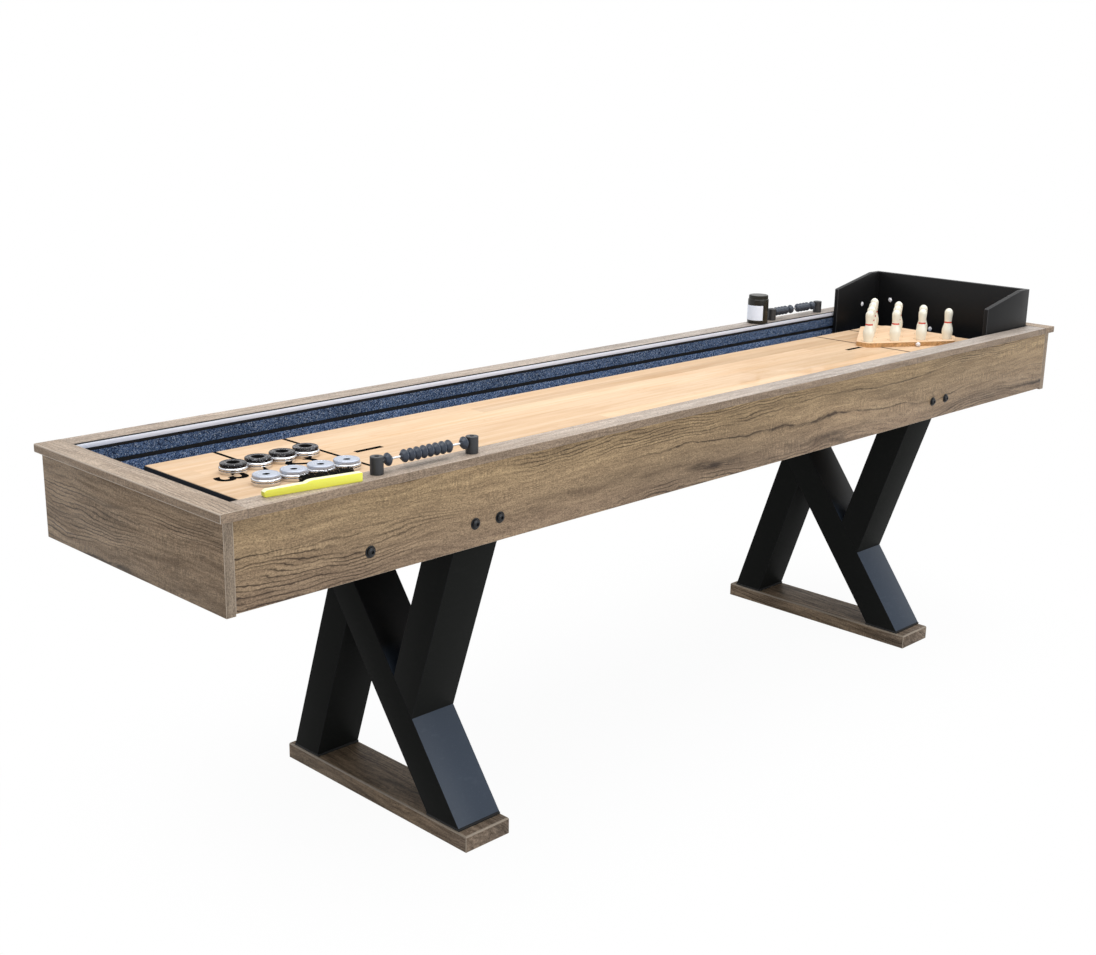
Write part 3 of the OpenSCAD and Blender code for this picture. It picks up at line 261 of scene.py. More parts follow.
def build_maple_strips():
    """Strips of pale maple with straight grain and small tone changes from strip to strip."""
    tree, entry = shader_group("Maple Strips", ("Pale", "Warm", "Brown"), ("Strip Width", "Strip Length"))
    place = entry["Place"]
    along, across, depth = apart(tree, place)
    row = calc(tree, "DIVIDE", across, entry["Strip Width"])
    row_number = calc(tree, "FLOOR", row)
    jump = calc(tree, "FRACT", times(tree, row_number, 0.618))
    piece = calc(tree, "FLOOR", plus(tree, calc(tree, "DIVIDE", along, entry["Strip Length"]), jump))
    tone = add(tree, "ShaderNodeTexWhiteNoise", {"Vector": together(tree, row_number, piece, 0.0)},
               noise_dimensions="2D").outputs["Value"]
    shifted = together(tree, plus(tree, along, times(tree, tone, 7.0)), across, depth)
    grain = noise(tree, shifted, (2.2, 60, 20), 4.0, 0.6, bend=0.4)
    cloud = noise(tree, shifted, (3.5, 13, 6), 2.0, shift=(5, 1, 2))
    fleck = span(tree, noise(tree, shifted, (28, 420, 90), 2.0), 0.60, 0.74)
    colour = blend(tree, span(tree, grain, 0.35, 0.72), entry["Pale"], entry["Warm"])
    colour = blend(tree, span(tree, cloud, 0.52, 0.80, 0.0, 0.45), colour, entry["Brown"])
    wisp = noise(tree, shifted, (16, 150, 40), 3.0, 0.65, bend=1.2, shift=(2, 7, 4))
    colour = blend(tree, span(tree, wisp, 0.56, 0.76, 0.0, 0.40), colour, entry["Brown"])
    colour = blend(tree, times(tree, fleck, 0.22), colour, entry["Brown"])
    colour = tinted(tree, colour, span(tree, tone, 0.0, 1.0, 0.90, 1.06))
    edge = times(tree, calc(tree, "PINGPONG", row, 0.5), 2.0)
    seam = span(tree, edge, 0.0, 0.03, 0.16, 0.0)
    colour = blend(tree, seam, colour, entry["Brown"])
    return results(tree, colour, span(tree, grain, 0.2, 0.8, 0.14, 0.24), grain)


def build_carpet_pile():
    """Looped pile in three yarns: a dark ground, a mid blue and pale flecks."""
    tree, entry = shader_group("Carpet Pile", ("Ground", "Yarn", "Fleck"), outputs=("Colour", "Height"))
    place = entry["Place"]
    tuft = cells(tree, place, 560, "Distance")
    tuft_colour = apart(tree, cells(tree, place, 560, "Color"))
    patch = noise(tree, place, (340, 340, 340), 2.0, 0.7)
    wide = noise(tree, place, (14, 14, 14), 2.0, 0.5)
    mixed = calc(tree, "MULTIPLY_ADD", patch, 0.8, times(tree, tuft_colour[0], 0.5))
    colour = blend(tree, span(tree, mixed, 0.45, 0.80), entry["Ground"], entry["Yarn"])
    colour = blend(tree, span(tree, tuft_colour[1], 0.86, 0.93, 0.0, 0.85), colour, entry["Fleck"])
    # Painted shade between the loops: each tuft darkens towards its edges, on top of a broad random tone.
    shade = times(tree, span(tree, wide, 0.3, 0.7, 0.85, 1.15), span(tree, tuft, 0.0, 0.6, 1.2, 0.6))
    return results(tree, tinted(tree, colour, shade), minus(tree, patch, tuft))


GRAIN = build_driftwood_grain()
WEAR = build_fine_wear()
STRIPS = build_maple_strips()
PILE = build_carpet_pile()


# Materials

def begin(name, roughness=0.5, metallic=0.0, specular=0.5, coat=0.0, coat_roughness=0.05):
    material = bpy.data.materials.new(name)
    material.use_nodes = True
    tree = material.node_tree
    shader = tree.nodes["Principled BSDF"]
    values = {"Roughness": roughness, "Metallic": metallic, "Specular IOR Level": specular,
              "Coat Weight": coat, "Coat Roughness": coat_roughness}
    for label, value in values.items():
        shader.inputs[label].default_value = value
    return material, tree, shader, add(tree, "ShaderNodeTexCoord").outputs["Object"]


def surface(tree, shader, effect, strength, depth, colour=None):
    """Feeds an effect to the shader. The bump's full swing is the depth in metres."""
    feed(tree, shader.inputs["Base Color"], colour or effect["Colour"])
    if "Roughness" in effect:
        feed(tree, shader.inputs["Roughness"], effect["Roughness"])
    bump = add(tree, "ShaderNodeBump", {"Strength": strength, "Distance": depth, "Height": effect["Height"]})
    feed(tree, shader.inputs["Normal"], bump.outputs["Normal"])


def board_place(tree, place, along, seed):
    """The place on a board as along, across and depth, moved so that each board has its own grain."""
    x, y, z = apart(tree, place)
    if along == "X":
        turned = together(tree, x, plus(tree, z, y), minus(tree, y, z))
    elif along == "Y":
        turned = together(tree, y, plus(tree, z, x), minus(tree, x, z))
    else:
        turned = together(tree, z, plus(tree, x, y), minus(tree, y, x))
    return stretch(tree, turned, (1, 1, 1), (seed * 3.7, seed * 1.3, seed * 0.9))


def driftwood(name, along, seed, pale, body, dark, swirl=0.016, veins=1.0, specular=0.2, painted_light_fade=None):
    """Laminate. A painted light fade is an axis number, two places on it and the tints there; it paints
    light and shade across the board.
    """
    material, tree, shader, place = begin(name, specular=specular)
    grain = use(tree, GRAIN, place=board_place(tree, place, along, seed), pale=pale, body=body, dark=dark,
                swirl=swirl, veins=veins)
    colour = grain["Colour"]
    if painted_light_fade:
        axis, low, high, tint_low, tint_high = painted_light_fade
        share = span(tree, apart(tree, place)[axis], low, high)
        colour = blend(tree, 1.0, colour, blend(tree, share, tint_low, tint_high), "MULTIPLY")
    surface(tree, shader, grain, 0.35, 0.0004, colour)
    return material


def worn(name, colour, dust, dusting, gloss, bump=0.1, recolour=None, **extra):
    """Lacquer, plastic or metal with the shared fine wear. A recolour changes the worn colour by place."""
    material, tree, shader, place = begin(name, **extra)
    wear = use(tree, WEAR, place=place, colour=colour, dust=dust, dusting=dusting, gloss_low=gloss[0],
               gloss_high=gloss[1])
    surface(tree, shader, wear, bump, 0.0001, recolour and recolour(tree, place, wear["Colour"]))
    return material


def maple(name, pale, warm, brown, width, length, coat, seed=0.0):
    material, tree, shader, place = begin(name, specular=0.0, coat=coat, coat_roughness=0.035)
    place = stretch(tree, place, (1, 1, 1), (seed, seed * 0.3, 0))
    strips = use(tree, STRIPS, place=place, pale=pale, warm=warm, brown=brown, strip_width=width,
                 strip_length=length)
    surface(tree, shader, strips, 0.05, 0.0001)
    return material


REVEAL_MIDDLE = 755.5 * MM
CARPET_PAINTED_SHADOW = (0.006, 0.007, 0.008)


def carpet(name, ground, yarn, fleck):
    """Looped pile, made paler below the reveal by painted light, with painted shadow black along the
    reveal's edges and under the trims.
    """
    material, tree, shader, place = begin(name, roughness=0.95, specular=0.1)
    pile = use(tree, PILE, place=place, ground=ground, yarn=yarn, fleck=fleck)
    height = apart(tree, place)[2]
    # Painted light: the band below the reveal is lifted paler, as its edge catches the light.
    lift = span(tree, height, REVEAL_MIDDLE - 2 * MM, REVEAL_MIDDLE + 2 * MM, 1.8, 1.22)
    colour = tinted(tree, pile["Colour"], lift)
    # Painted shadow along the reveal's edges and under the trims' overhang.
    off_reveal = calc(tree, "ABSOLUTE", minus(tree, height, REVEAL_MIDDLE))
    colour = blend(tree, span(tree, off_reveal, 3.7 * MM, 4.6 * MM), CARPET_PAINTED_SHADOW, colour)
    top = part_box("wall_carpets")[1].z
    colour = blend(tree, span(tree, height, top - 1.0 * MM, top - 0.4 * MM), colour, CARPET_PAINTED_SHADOW)
    surface(tree, shader, pile, 0.8, 0.0015, colour)
    return material


LAMINATE = {"pale": (0.41, 0.30, 0.175), "body": (0.262, 0.186, 0.110), "dark": (0.036, 0.022, 0.014)}
# Painted shade on the aprons: darker towards the bottom, lighter towards the top.
APRON_PAINTED_SHADE = (2, 0.64, 0.76, (0.86, 0.83, 0.90), (1.11, 1.07, 0.99))
near_face = driftwood("apron near laminate", "X", 1, painted_light_fade=APRON_PAINTED_SHADE, **LAMINATE)
far_face = driftwood("apron far laminate", "X", 2, painted_light_fade=APRON_PAINTED_SHADE, **LAMINATE)
# Painted light and shade on the end panels: darker towards the near side, lighter towards the far side.
end_face = driftwood("end panel laminate", "Y", 3, (0.40, 0.295, 0.190), (0.215, 0.150, 0.092),
                     (0.034, 0.023, 0.015), painted_light_fade=(1, -0.29, 0.20, (0.80, 0.78, 0.78), (1.06, 1.03, 1.0)))
edge_band = driftwood("end panel edge band", "Z", 4, (0.31, 0.245, 0.18), (0.225, 0.17, 0.12),
                      (0.11, 0.08, 0.055), swirl=0.003, veins=0.4)
RAIL = {"pale": (0.53, 0.44, 0.345), "body": (0.36, 0.285, 0.215), "dark": (0.085, 0.06, 0.043)}
# Painted reflection on the long rails: paler and bluer towards the right, where the glossy top mirrors the
# bright, cool surroundings.
rail_long = driftwood("long rail laminate", "X", 5, swirl=0.008, veins=0.8, specular=0.4,
                      painted_light_fade=(0, -1.0, 0.4, (0.97, 0.95, 0.96), (0.98, 1.03, 1.14)), **RAIL)
rail_end = driftwood("end rail laminate", "Y", 6, (0.47, 0.365, 0.27), (0.30, 0.225, 0.16),
                     (0.072, 0.05, 0.035), swirl=0.008, veins=0.8, specular=0.3)
rail_side = driftwood("long rail edge band", "X", 8, (0.345, 0.256, 0.180), (0.247, 0.180, 0.125),
                      (0.115, 0.082, 0.056), swirl=0.003, veins=0.5)
rail_end_side = driftwood("end rail edge band", "Y", 11, (0.31, 0.23, 0.158), (0.222, 0.155, 0.10),
                          (0.09, 0.062, 0.042), swirl=0.003, veins=0.5)
# Painted light on the foot boards: darker at their near ends, lighter further in under the table.
foot_wood = driftwood("foot board laminate", "Y", 7, (0.330, 0.250, 0.178), (0.118, 0.085, 0.058),
                      (0.012, 0.009, 0.006), swirl=0.014, specular=0.12,
                      painted_light_fade=(1, -0.285, -0.15, (0.88, 0.88, 0.90), (1.12, 1.08, 1.00)))
worn_edge = worn("laminate edge rubbed pale", (0.44, 0.36, 0.28), (0.60, 0.52, 0.42), 0.5, (0.4, 0.6))
bare_corner = worn("laminate corner rubbed bare", (0.74, 0.68, 0.60), (0.90, 0.86, 0.80), 0.5, (0.4, 0.6))
foot_edge = worn("foot board edge rubbed pale", (0.27, 0.22, 0.165), (0.46, 0.40, 0.32), 0.5, (0.4, 0.6))
trim_strip = worn("edge trim strip", (0.78, 0.80, 0.87), (0.85, 0.85, 0.88), 0.15, (0.30, 0.45))
leg_lacquer = worn("leg lacquer", (0.0125, 0.0130, 0.0120), 0.032, 0.25, (0.46, 0.60), specular=0.015)
leg_edge = worn("leg edges", (0.010, 0.0105, 0.011), 0.03, 0.3, (0.40, 0.55), specular=0.05)
board_lacquer = worn("backstop lacquer", (0.0062, 0.0062, 0.0066), 0.03, 0.15, (0.38, 0.50), specular=0.2)
board_edge = worn("backstop edges", (0.05, 0.05, 0.052), 0.16, 0.5, (0.45, 0.6), specular=0.3)
black_board = worn("black board", (0.012, 0.012, 0.013), 0.05, 0.2, (0.5, 0.7), specular=0.3)
pad_rubber = worn("rubber pads", 0.012, 0.05, 0.3, (0.6, 0.85), specular=0.3)
bolt_black = worn("blackened steel", (0.018, 0.019, 0.021), (0.10, 0.10, 0.11), 0.3, (0.25, 0.45),
                  metallic=0.6)
post_plastic = worn("scorer post plastic", (0.022, 0.023, 0.026), (0.08, 0.08, 0.09), 0.3, (0.35, 0.55))
bead_plastic = worn("scorer bead plastic", (0.030, 0.040, 0.060), (0.12, 0.14, 0.18), 0.3, (0.28, 0.45))
rod_steel = worn("polished steel", (0.72, 0.73, 0.76), 0.5, 0.1, (0.12, 0.25), metallic=1.0)
cap_white = worn("white screw caps", (0.78, 0.78, 0.80), 0.6, 0.2, (0.3, 0.45))
chrome = worn("puck chrome", (0.74, 0.75, 0.78), (0.5, 0.5, 0.52), 0.08, (0.05, 0.12), metallic=1.0,
              bump=0.02)
puck_black = worn("puck cap black", (0.005, 0.005, 0.006), (0.55, 0.56, 0.60), 1.0, (0.08, 0.2),
                  specular=0.1, coat=0.2)
puck_silver = worn("puck cap silver", (0.46, 0.50, 0.585), (0.6, 0.62, 0.68), 0.2, (0.22, 0.36),
                   metallic=0.35)
brush_yellow = worn("brush yellow", (0.86, 0.85, 0.105), (0.9, 0.9, 0.5), 0.15, (0.25, 0.4), specular=0.3)
# A paler yellow for the handle's upward faces: a painted highlight from the light above.
brush_painted_highlight = worn("brush yellow, painted highlight on top", (0.90, 0.89, 0.55), (0.95, 0.95, 0.8), 0.3, (0.25, 0.4))
bristle_black = worn("brush bristle", (0.006, 0.006, 0.005), (0.05, 0.045, 0.03), 0.4, (0.5, 0.7),
                     specular=0.08)
jar_dark = worn("jar plastic", (0.017, 0.016, 0.012), 0.06, 0.2, (0.14, 0.26), specular=0.3)
lid_dark = worn("jar lid plastic", (0.014, 0.014, 0.010), (0.06, 0.06, 0.05), 0.3, (0.25, 0.4), specular=0.3)
label_paper = worn("blank label paper", (0.86, 0.91, 1.0), (0.88, 0.90, 0.96), 0.2, (0.55, 0.7),
                   specular=0.2)
line_black = worn("printed black line", 0.006, 0.02, 0.2, (0.5, 0.6), specular=0.0)
field_maple = maple("playfield maple", (0.76, 0.56, 0.377), (0.675, 0.455, 0.272), (0.53, 0.305, 0.148),
                    0.0445, 1.9, coat=0.2)
plate_maple = maple("pin plate top", (0.84, 0.62, 0.42), (0.77, 0.53, 0.34), (0.62, 0.38, 0.20),
                    0.40, 3.0, coat=0.1, seed=2.1)
plate_edge = driftwood("pin plate edge", "X", 9, (0.66, 0.40, 0.185), (0.56, 0.315, 0.135),
                       (0.30, 0.15, 0.055), swirl=0.0)
plain_wood = driftwood("bearer timber", "Y", 10, (0.62, 0.47, 0.30), (0.54, 0.39, 0.23), (0.36, 0.24, 0.13),
                       swirl=0.006, veins=0.4)
wall_carpet = carpet("gutter carpet", (0.018, 0.030, 0.062), (0.115, 0.175, 0.30), (0.45, 0.52, 0.62))

plate_low, plate_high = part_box("pin_plate")
play_top = plate_low.z
NECK_BAND_Z = plate_high.z + 47.1 * MM


def painted_sheen_and_shade(tree, place, colour):
    """Painted blue sheen low on the braces, where the light reaches them, and painted black shade under the
    table.
    """
    return blend(tree, span(tree, apart(tree, place)[2], 0.31, 0.36), colour, 0.005)


def red_band(tree, place, colour):
    """A band painted round the pins' necks, with slightly wavy edges."""
    ripple = noise(tree, place, (300, 300, 60), 2.0)
    waver = calc(tree, "MULTIPLY_ADD", ripple, 0.8 * MM, apart(tree, place)[2])
    off_band = calc(tree, "ABSOLUTE", minus(tree, waver, NECK_BAND_Z))
    return blend(tree, span(tree, off_band, 1.8 * MM, 2.3 * MM, 1.0, 0.0), colour, (0.62, 0.06, 0.035))


leg_painted_sheen = worn("leg lacquer, painted sheen on raised faces", (0.036, 0.049, 0.070), (0.10, 0.12, 0.15), 0.25,
                 (0.34, 0.46), recolour=painted_sheen_and_shade, specular=0.2)
pin_plastic = worn("pin cream", (0.86, 0.83, 0.70), (0.70, 0.60, 0.42), 0.25, (0.18, 0.34), bump=0.05,
                   recolour=red_band)


# Building and fitting pieces

def shown(name, mesh, finishes):
    for finish in finishes:
        mesh.materials.append(finish)
    return placed(name, mesh)


def into_mesh(work, name):
    """The mesh of a bmesh, which is then freed."""
    mesh = bpy.data.meshes.new(name)
    work.to_mesh(mesh)
    work.free()
    return mesh


def soften(mesh, degrees=32):
    """Smooth shading, with edges sharper than the angle kept crisp."""
    work = bmesh.new()
    work.from_mesh(mesh)
    bmesh.ops.remove_doubles(work, verts=work.verts, dist=1e-7)
    bmesh.ops.recalc_face_normals(work, faces=work.faces)
    limit = radians(degrees)
    for edge in work.edges:
        edge.smooth = len(edge.link_faces) == 2 and edge.calc_face_angle(0) < limit
    for face in work.faces:
        face.smooth = True
    work.to_mesh(mesh)
    work.free()
    return mesh


EDGE_SLOT = 1


def gathered(fillers, bevel, steps):
    """One mesh of closed solids, each begun by a filler, with rounded corners in the edge slot's finish."""
    whole = bmesh.new()
    for fill in fillers:
        work = bmesh.new()
        fill(work)
        bmesh.ops.recalc_face_normals(work, faces=work.faces)
        bmesh.ops.bevel(work, geom=list(work.edges), offset=bevel, offset_type="OFFSET", segments=steps,
                        profile=0.5, affect="EDGES", clamp_overlap=True, material=EDGE_SLOT)
        part = into_mesh(work, "part")
        whole.from_mesh(part)
        bpy.data.meshes.remove(part)
    return soften(into_mesh(whole, "gathered"), 50)


def prism_into(work, outline, low, high, axis):
    """A closed prism: the outline lies in the two axes after the given one, in X, Y, Z order."""
    def at(point, level):
        return {"X": (level, *point), "Y": (point[0], level, point[1]), "Z": (*point, level)}[axis]
    ends = [[work.verts.new(at(p, level)) for p in outline] for level in (low, high)]
    work.faces.new(ends[0])
    work.faces.new(list(reversed(ends[1])))
    count = len(outline)
    for i in range(count):
        j = (i + 1) % count
        work.faces.new((ends[0][i], ends[1][i], ends[1][j], ends[0][j]))


def prisms(shapes, bevel, steps=2):
    """A mesh of bevelled prisms, each given as outline, low, high and axis."""
    return gathered([lambda work, shape=shape: prism_into(work, *shape) for shape in shapes], bevel, steps)


def box_shape(low, high):
    """A box between two corners, as a prism."""
    outline = [(low[0], low[1]), (high[0], low[1]), (high[0], high[1]), (low[0], high[1])]
    return outline, low[2], high[2], "Z"


def islands(node):
    """The separate solids of a CAD node, as lists of corner points, in an order that never changes."""
    work = bmesh.new()
    work.from_mesh(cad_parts[node].data)
    bmesh.ops.remove_doubles(work, verts=work.verts, dist=1e-6)
    left = set(work.verts)
    groups = []
    while left:
        stack = [left.pop()]
        members = []
        while stack:
            vert = stack.pop()
            members.append(vert.co.copy())
            for edge in vert.link_edges:
                other = edge.other_vert(vert)
                if other in left:
                    left.remove(other)
                    stack.append(other)
        groups.append(sorted(members, key=tuple))
    work.free()
    return sorted(groups, key=lambda g: tuple(round(sum(p[k] for p in g) / len(g), 5) for k in (0, 1, 2)))


def corners(points):
    return tuple(Vector([pick(point[k] for point in points) for k in range(3)]) for pick in (min, max))


def footing(node):
    """The middle of a CAD node's under side, and the node's size in mm."""
    low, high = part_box(node)
    return Vector(((low.x + high.x) / 2, (low.y + high.y) / 2, low.z)), (high - low) / MM


def fit(piece, body, nodes=()):
    """The piece rides on a body and stands for some CAD nodes, which it hides."""
    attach(piece, body)
    if nodes:
        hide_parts(*nodes)
    return piece


def turned(profile, steps):
    """A closed solid of revolution about Z from (radius, height) pairs in mm, which start and end on it."""
    work = bmesh.new()
    turns = [2 * pi * i / steps for i in range(steps)]
    rings = []
    for radius, height in ((r * MM, h * MM) for r, h in profile):
        if radius < 1e-6:
            rings.append([work.verts.new((0, 0, height))])
        else:
            around = [(radius * cos(a), radius * sin(a), height) for a in turns]
            rings.append([work.verts.new(point) for point in around])
    for one, two in zip(rings, rings[1:]):
        for i in range(steps):
            j = (i + 1) % steps
            loop = [one[i % len(one)], one[j % len(one)], two[j % len(two)], two[i % len(two)]]
            corners_left = list(dict.fromkeys(loop))
            if len(corners_left) > 2:
                work.faces.new(corners_left)
    return soften(into_mesh(work, "turned"))


def shade_smooth(mesh):
    for face in mesh.polygons:
        face.use_smooth = True


def moved(mesh, matrix):
    mesh.transform(matrix)
    mesh.update()
    return mesh


def evaluated(holder):
    """A plain mesh of what an object shows with its modifiers or its text. The object is then removed."""
    bpy.context.view_layer.update()
    mesh = bpy.data.meshes.new_from_object(holder.evaluated_get(bpy.context.evaluated_depsgraph_get()))
    bpy.data.objects.remove(holder)
    return mesh


def joined(meshes):
    """One mesh from several, whose material numbers are given with each."""
    whole = bmesh.new()
    for mesh, number in meshes:
        first = len(whole.faces)
        whole.from_mesh(mesh)
        whole.faces.ensure_lookup_table()
        for face in whole.faces[first:]:
            face.material_index = number
    return into_mesh(whole, "joined")


# Cabinet and legs

def hull_into(work, points):
    for point in points:
        work.verts.new(point)
    found = bmesh.ops.convex_hull(work, input=list(work.verts))
    loose = found["geom_interior"] + found["geom_unused"]
    spare = dict.fromkeys(item for item in loose if isinstance(item, bmesh.types.BMVert))
    bmesh.ops.delete(work, geom=list(spare), context="VERTS")
    bmesh.ops.dissolve_limit(work, angle_limit=radians(1), verts=list(work.verts),
                             edges=list(work.edges))


def boards(name, node, finishes, bevel, steps=2, body="table"):
    """Boards in place of a CAD node whose solids are all convex, their edges rounded by the bevel in mm."""
    fillers = [lambda work, points=points: hull_into(work, points) for points in islands(node)]
    return fit(shown(name, gathered(fillers, bevel * MM, steps), finishes), body, [node])


def repaint(piece, number, chosen):
    """Gives another finish to the faces that a test picks."""
    for face in piece.data.polygons:
        if chosen(face):
            face.material_index = number


def polished(name, node, body, finishes, degrees=30):
    """A CAD node's own shape, merged and shaded smooth between its crisp edges."""
    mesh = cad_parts[node].data.copy()
    mesh.materials.clear()
    return fit(shown(name, soften(mesh, degrees), finishes), body, [node])


PLAIN_BOARDS = (
    ("floor_panel", "floor_board", black_board, 0.5, "black_board"),
    ("corner_blocks_glued", "corner_blocks", plain_wood, 0.8, "plain_timber"),
    ("stretchers_under_floor", "cross_stretchers", plain_wood, 0.8, "plain_timber"),
    ("bearers_under_play", "playfield_bearers", plain_wood, 0.8, "plain_timber"))
TRIM_SHARE, TRIM_RISE = 0.66, 1.4 * MM


def build_cabinet():
    for side, finish in (("near", near_face), ("far", far_face)):
        boards("apron_" + side, side + "_apron", [finish, worn_edge], 0.6)
    for side in ("left", "right"):
        panel = boards("end_panel_" + side, side + "_end_panel", [end_face, worn_edge, edge_band], 0.6)
        repaint(panel, 2, lambda face: face.material_index == 0 and abs(face.normal.y) > 0.9)
    build_rails()
    trims = boards("rail_trim_strips", "rail_edge_trims", [trim_strip, trim_strip], 0.3)
    middle = sum(point.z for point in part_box("rail_edge_trims")) / 2
    for vert in trims.data.vertices:
        vert.co.z = middle + TRIM_RISE + TRIM_SHARE * (vert.co.z - middle)
    boards("foot_boards_pair", "foot_boards", [foot_wood, foot_edge], 1.4, 3)
    for name, node, finish, bevel, slot in PLAIN_BOARDS:
        boards(name, node, [finish, finish], bevel)


def build_rails():
    """Rails with a black inner face behind the trims. Paler mitre corners show on the end rails."""
    bevel = 0.9
    for node in ("near_rail", "far_rail"):
        rail = boards(node + "_board", node, [rail_long, rail_long, black_board, rail_side], bevel,
                      3)
        inner = min(abs(v.co.y) for v in rail.data.vertices) + (bevel + 0.05) * MM
        repaint(rail, 3, lambda face: abs(face.normal.y) > 0.9)
        repaint(rail, 2, lambda face: abs(face.center.y) < inner)
    finishes = [rail_end, worn_edge, black_board, bare_corner, rail_side, rail_end_side]
    for node in ("left_rail", "right_rail"):
        rail = boards(node + "_board", node, finishes, bevel, 3)
        inner = min(abs(v.co.x) for v in rail.data.vertices) + (bevel + 0.05) * MM
        repaint(rail, 5, lambda face: face.material_index == 0 and abs(face.normal.x) > 0.9)
        repaint(rail, 4, lambda face: abs(face.normal.y) > 0.9)
        repaint(rail, 3, lambda face: abs(face.normal.z) < 0.2 and max(map(abs, face.normal.xy)) < 0.95)
        repaint(rail, 2, lambda face: abs(face.center.x) < inner)


def build_legs():
    """Lacquered members. The braces' raised faces carry a painted sheen where they catch the light."""
    for node in ("leg_braces", "leg_posts", "leg_arms"):
        members = boards(node + "_lacquered", node, [leg_lacquer, leg_edge, leg_painted_sheen], 1.0,
                         3)
        if node == "leg_braces":
            # Faces that look towards the near side and up take the painted sheen.
            repaint(members, 2, lambda face: face.material_index == 0 and face.normal.y < -0.5
                    and face.normal.z > 0.2)
    boards("leg_crossbars_lacquered", "leg_crossbars", [leg_lacquer, leg_edge], 1.0)
    boards("leg_pads_rubber", "leg_pads", [pad_rubber, pad_rubber], 0.8)


# Playfield

# Each line's place along the table, and half its width in mm
CROSS_LINES = ((-1.071, 4.2), (-0.910, 4.2), (0.910, 3.3), (1.080, 3.3))
DIGIT_PLACES = (("1", 0.835), ("2", 0.990), ("3", 1.148))
DIGIT_HEIGHT = 66 * MM


def digit(character, x, facing):
    """A printed digit, a fifth of a millimetre thick, whose top points along X by the facing's sign."""
    curve = bpy.data.curves.new("digit", "FONT")
    curve.body = character
    curve.extrude = 0.1
    curve.offset = 0.022
    curve.resolution_u = 8
    mesh = evaluated(placed("digit", curve))
    low, high = corners([v.co for v in mesh.vertices])
    scale = DIGIT_HEIGHT / (high.y - low.y)
    middle = (low + high) / 2
    for vert in mesh.vertices:
        u, v = (vert.co.x - middle.x) * scale, (vert.co.y - middle.y) * scale
        vert.co = (x + facing * v, -facing * u, play_top + vert.co.z * MM + 0.02 * MM)
    return soften(mesh, 40)


def build_playfield():
    boards("playfield_boards", "playfield", [field_maple, field_maple], 0.5)
    boards("playfield_black_ends", "playfield_end_caps", [black_board, black_board], 0.3)
    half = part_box("playfield")[1].y - 0.4 * MM
    under, over = play_top - 0.3 * MM, play_top + 0.12 * MM
    shapes = [box_shape((x - wide * MM, -half, under), (x + wide * MM, half, over))
              for x, wide in CROSS_LINES]
    fit(shown("playfield_lines", prisms(shapes, 0.05 * MM, 1), [line_black, line_black]), "table")
    for end, side in ((-1, "left"), (1, "right")):
        for character, x in DIGIT_PLACES:
            name = "playfield_digit_%s_%s" % (character, side)
            fit(shown(name, digit(character, end * x, -end), [line_black]), "table")


# Play pieces

# Profiles from the axis round to the axis, as radius and height in mm
WEIGHT = ((0, 0), (24.6, 0), (25.5, 0.5), (26.0, 1.5), (26.8, 6.1), (26.6, 6.6), (26.1, 6.9), (26.1, 7.5),
          (26.7, 7.8), (27.0, 8.4), (27.0, 9.6), (26.8, 10.8), (26.3, 11.8), (25.6, 12.5), (24.7, 12.9),
          (21, 13), (21, 15), (0, 15))
CAP = ((0, 15.05), (21.1, 15.05), (21.1, 13.1), (24.3, 13.1), (24.9, 13.7), (25, 14.6), (25, 17.2),
       (24.7, 18.1), (24.0, 18.9), (23.0, 19.35), (21.9, 19.5), (20.9, 19.45), (20.5, 19.15), (19.7, 19.1),
       (19.2, 19.4), (16, 19.4), (12.5, 19.1), (9.5, 18.8), (7.6, 18.5), (6.7, 17.9), (6.4, 17.2),
       (6.3, 16.5), (3.2, 16.4), (2.9, 16.1), (2.8, 15.4), (0, 15.4))


def lathed(rings, place, steps=96):
    return moved(turned(rings, steps), Matrix.Translation(place))


# For each kind of cap: its finish, and the height and radius in mm under which its dish is painted black as
# shade
DARK_CAP = (puck_black, 19.0, 12.0)
PALE_CAP = (puck_silver, 18.3, 7.0)
GROOVE_HEIGHT = 7.2


def build_pucks():
    """Chromed weights with a black groove, and dished caps whose dishes are painted black as shade."""
    for number in range(1, 9):
        node = "puck_%d" % number
        place = footing(node)[0]
        cap_finish, dish_height, dish_reach = DARK_CAP if number <= 4 else PALE_CAP
        mesh = joined([(lathed(WEIGHT, place), 0), (lathed(CAP, place), 1)])
        whole = shown(node + "_turned", mesh, [chrome, cap_finish, line_black])
        shade_smooth(mesh)
        for face in mesh.polygons:
            radius, height = (face.center - place).xy.length / MM, (face.center - place).z / MM
            # The dish is painted matte black: a painted shadow in its hollow.
            in_dish_shade = face.material_index == 1 and height < dish_height and radius < dish_reach
            in_groove = face.material_index == 0 and abs(height - GROOVE_HEIGHT) < 0.7 and radius > 20
            if in_dish_shade or in_groove:
                face.material_index = 2
        fit(whole, node, [node])


# Each station's height as a share of the pin, and its radius in mm
PIN_STATIONS = ((0, 12.75), (0.26, 15), (0.57, 9.75), (0.85, 11.25))


def build_pins():
    """Pins whose sides wave between foot, belly, neck and head."""
    for number in range(1, 11):
        node = "pin_%d" % number
        place, size = footing(node)
        rings = [(0, 0), (12.1, 0), (12.6, 0.5)]
        for (start, wide), (stop, next_wide) in zip(PIN_STATIONS, PIN_STATIONS[1:]):
            for k in range(1, 13):
                wave = (1 - cos(pi * k / 12)) / 2
                rings.append((wide + (next_wide - wide) * wave, (start + (stop - start) * k / 12) * size.z))
        head_from, head_radius = PIN_STATIONS[-1]
        for angle in (radians(9 * k) for k in range(1, 10)):
            share = head_from + (1 - head_from) * sin(angle)
            rings.append((head_radius * cos(angle), share * size.z))
        rings.append((0, size.z))
        fit(shown(node + "_turned", lathed(rings, place, 64), [pin_plastic]), node, [node])


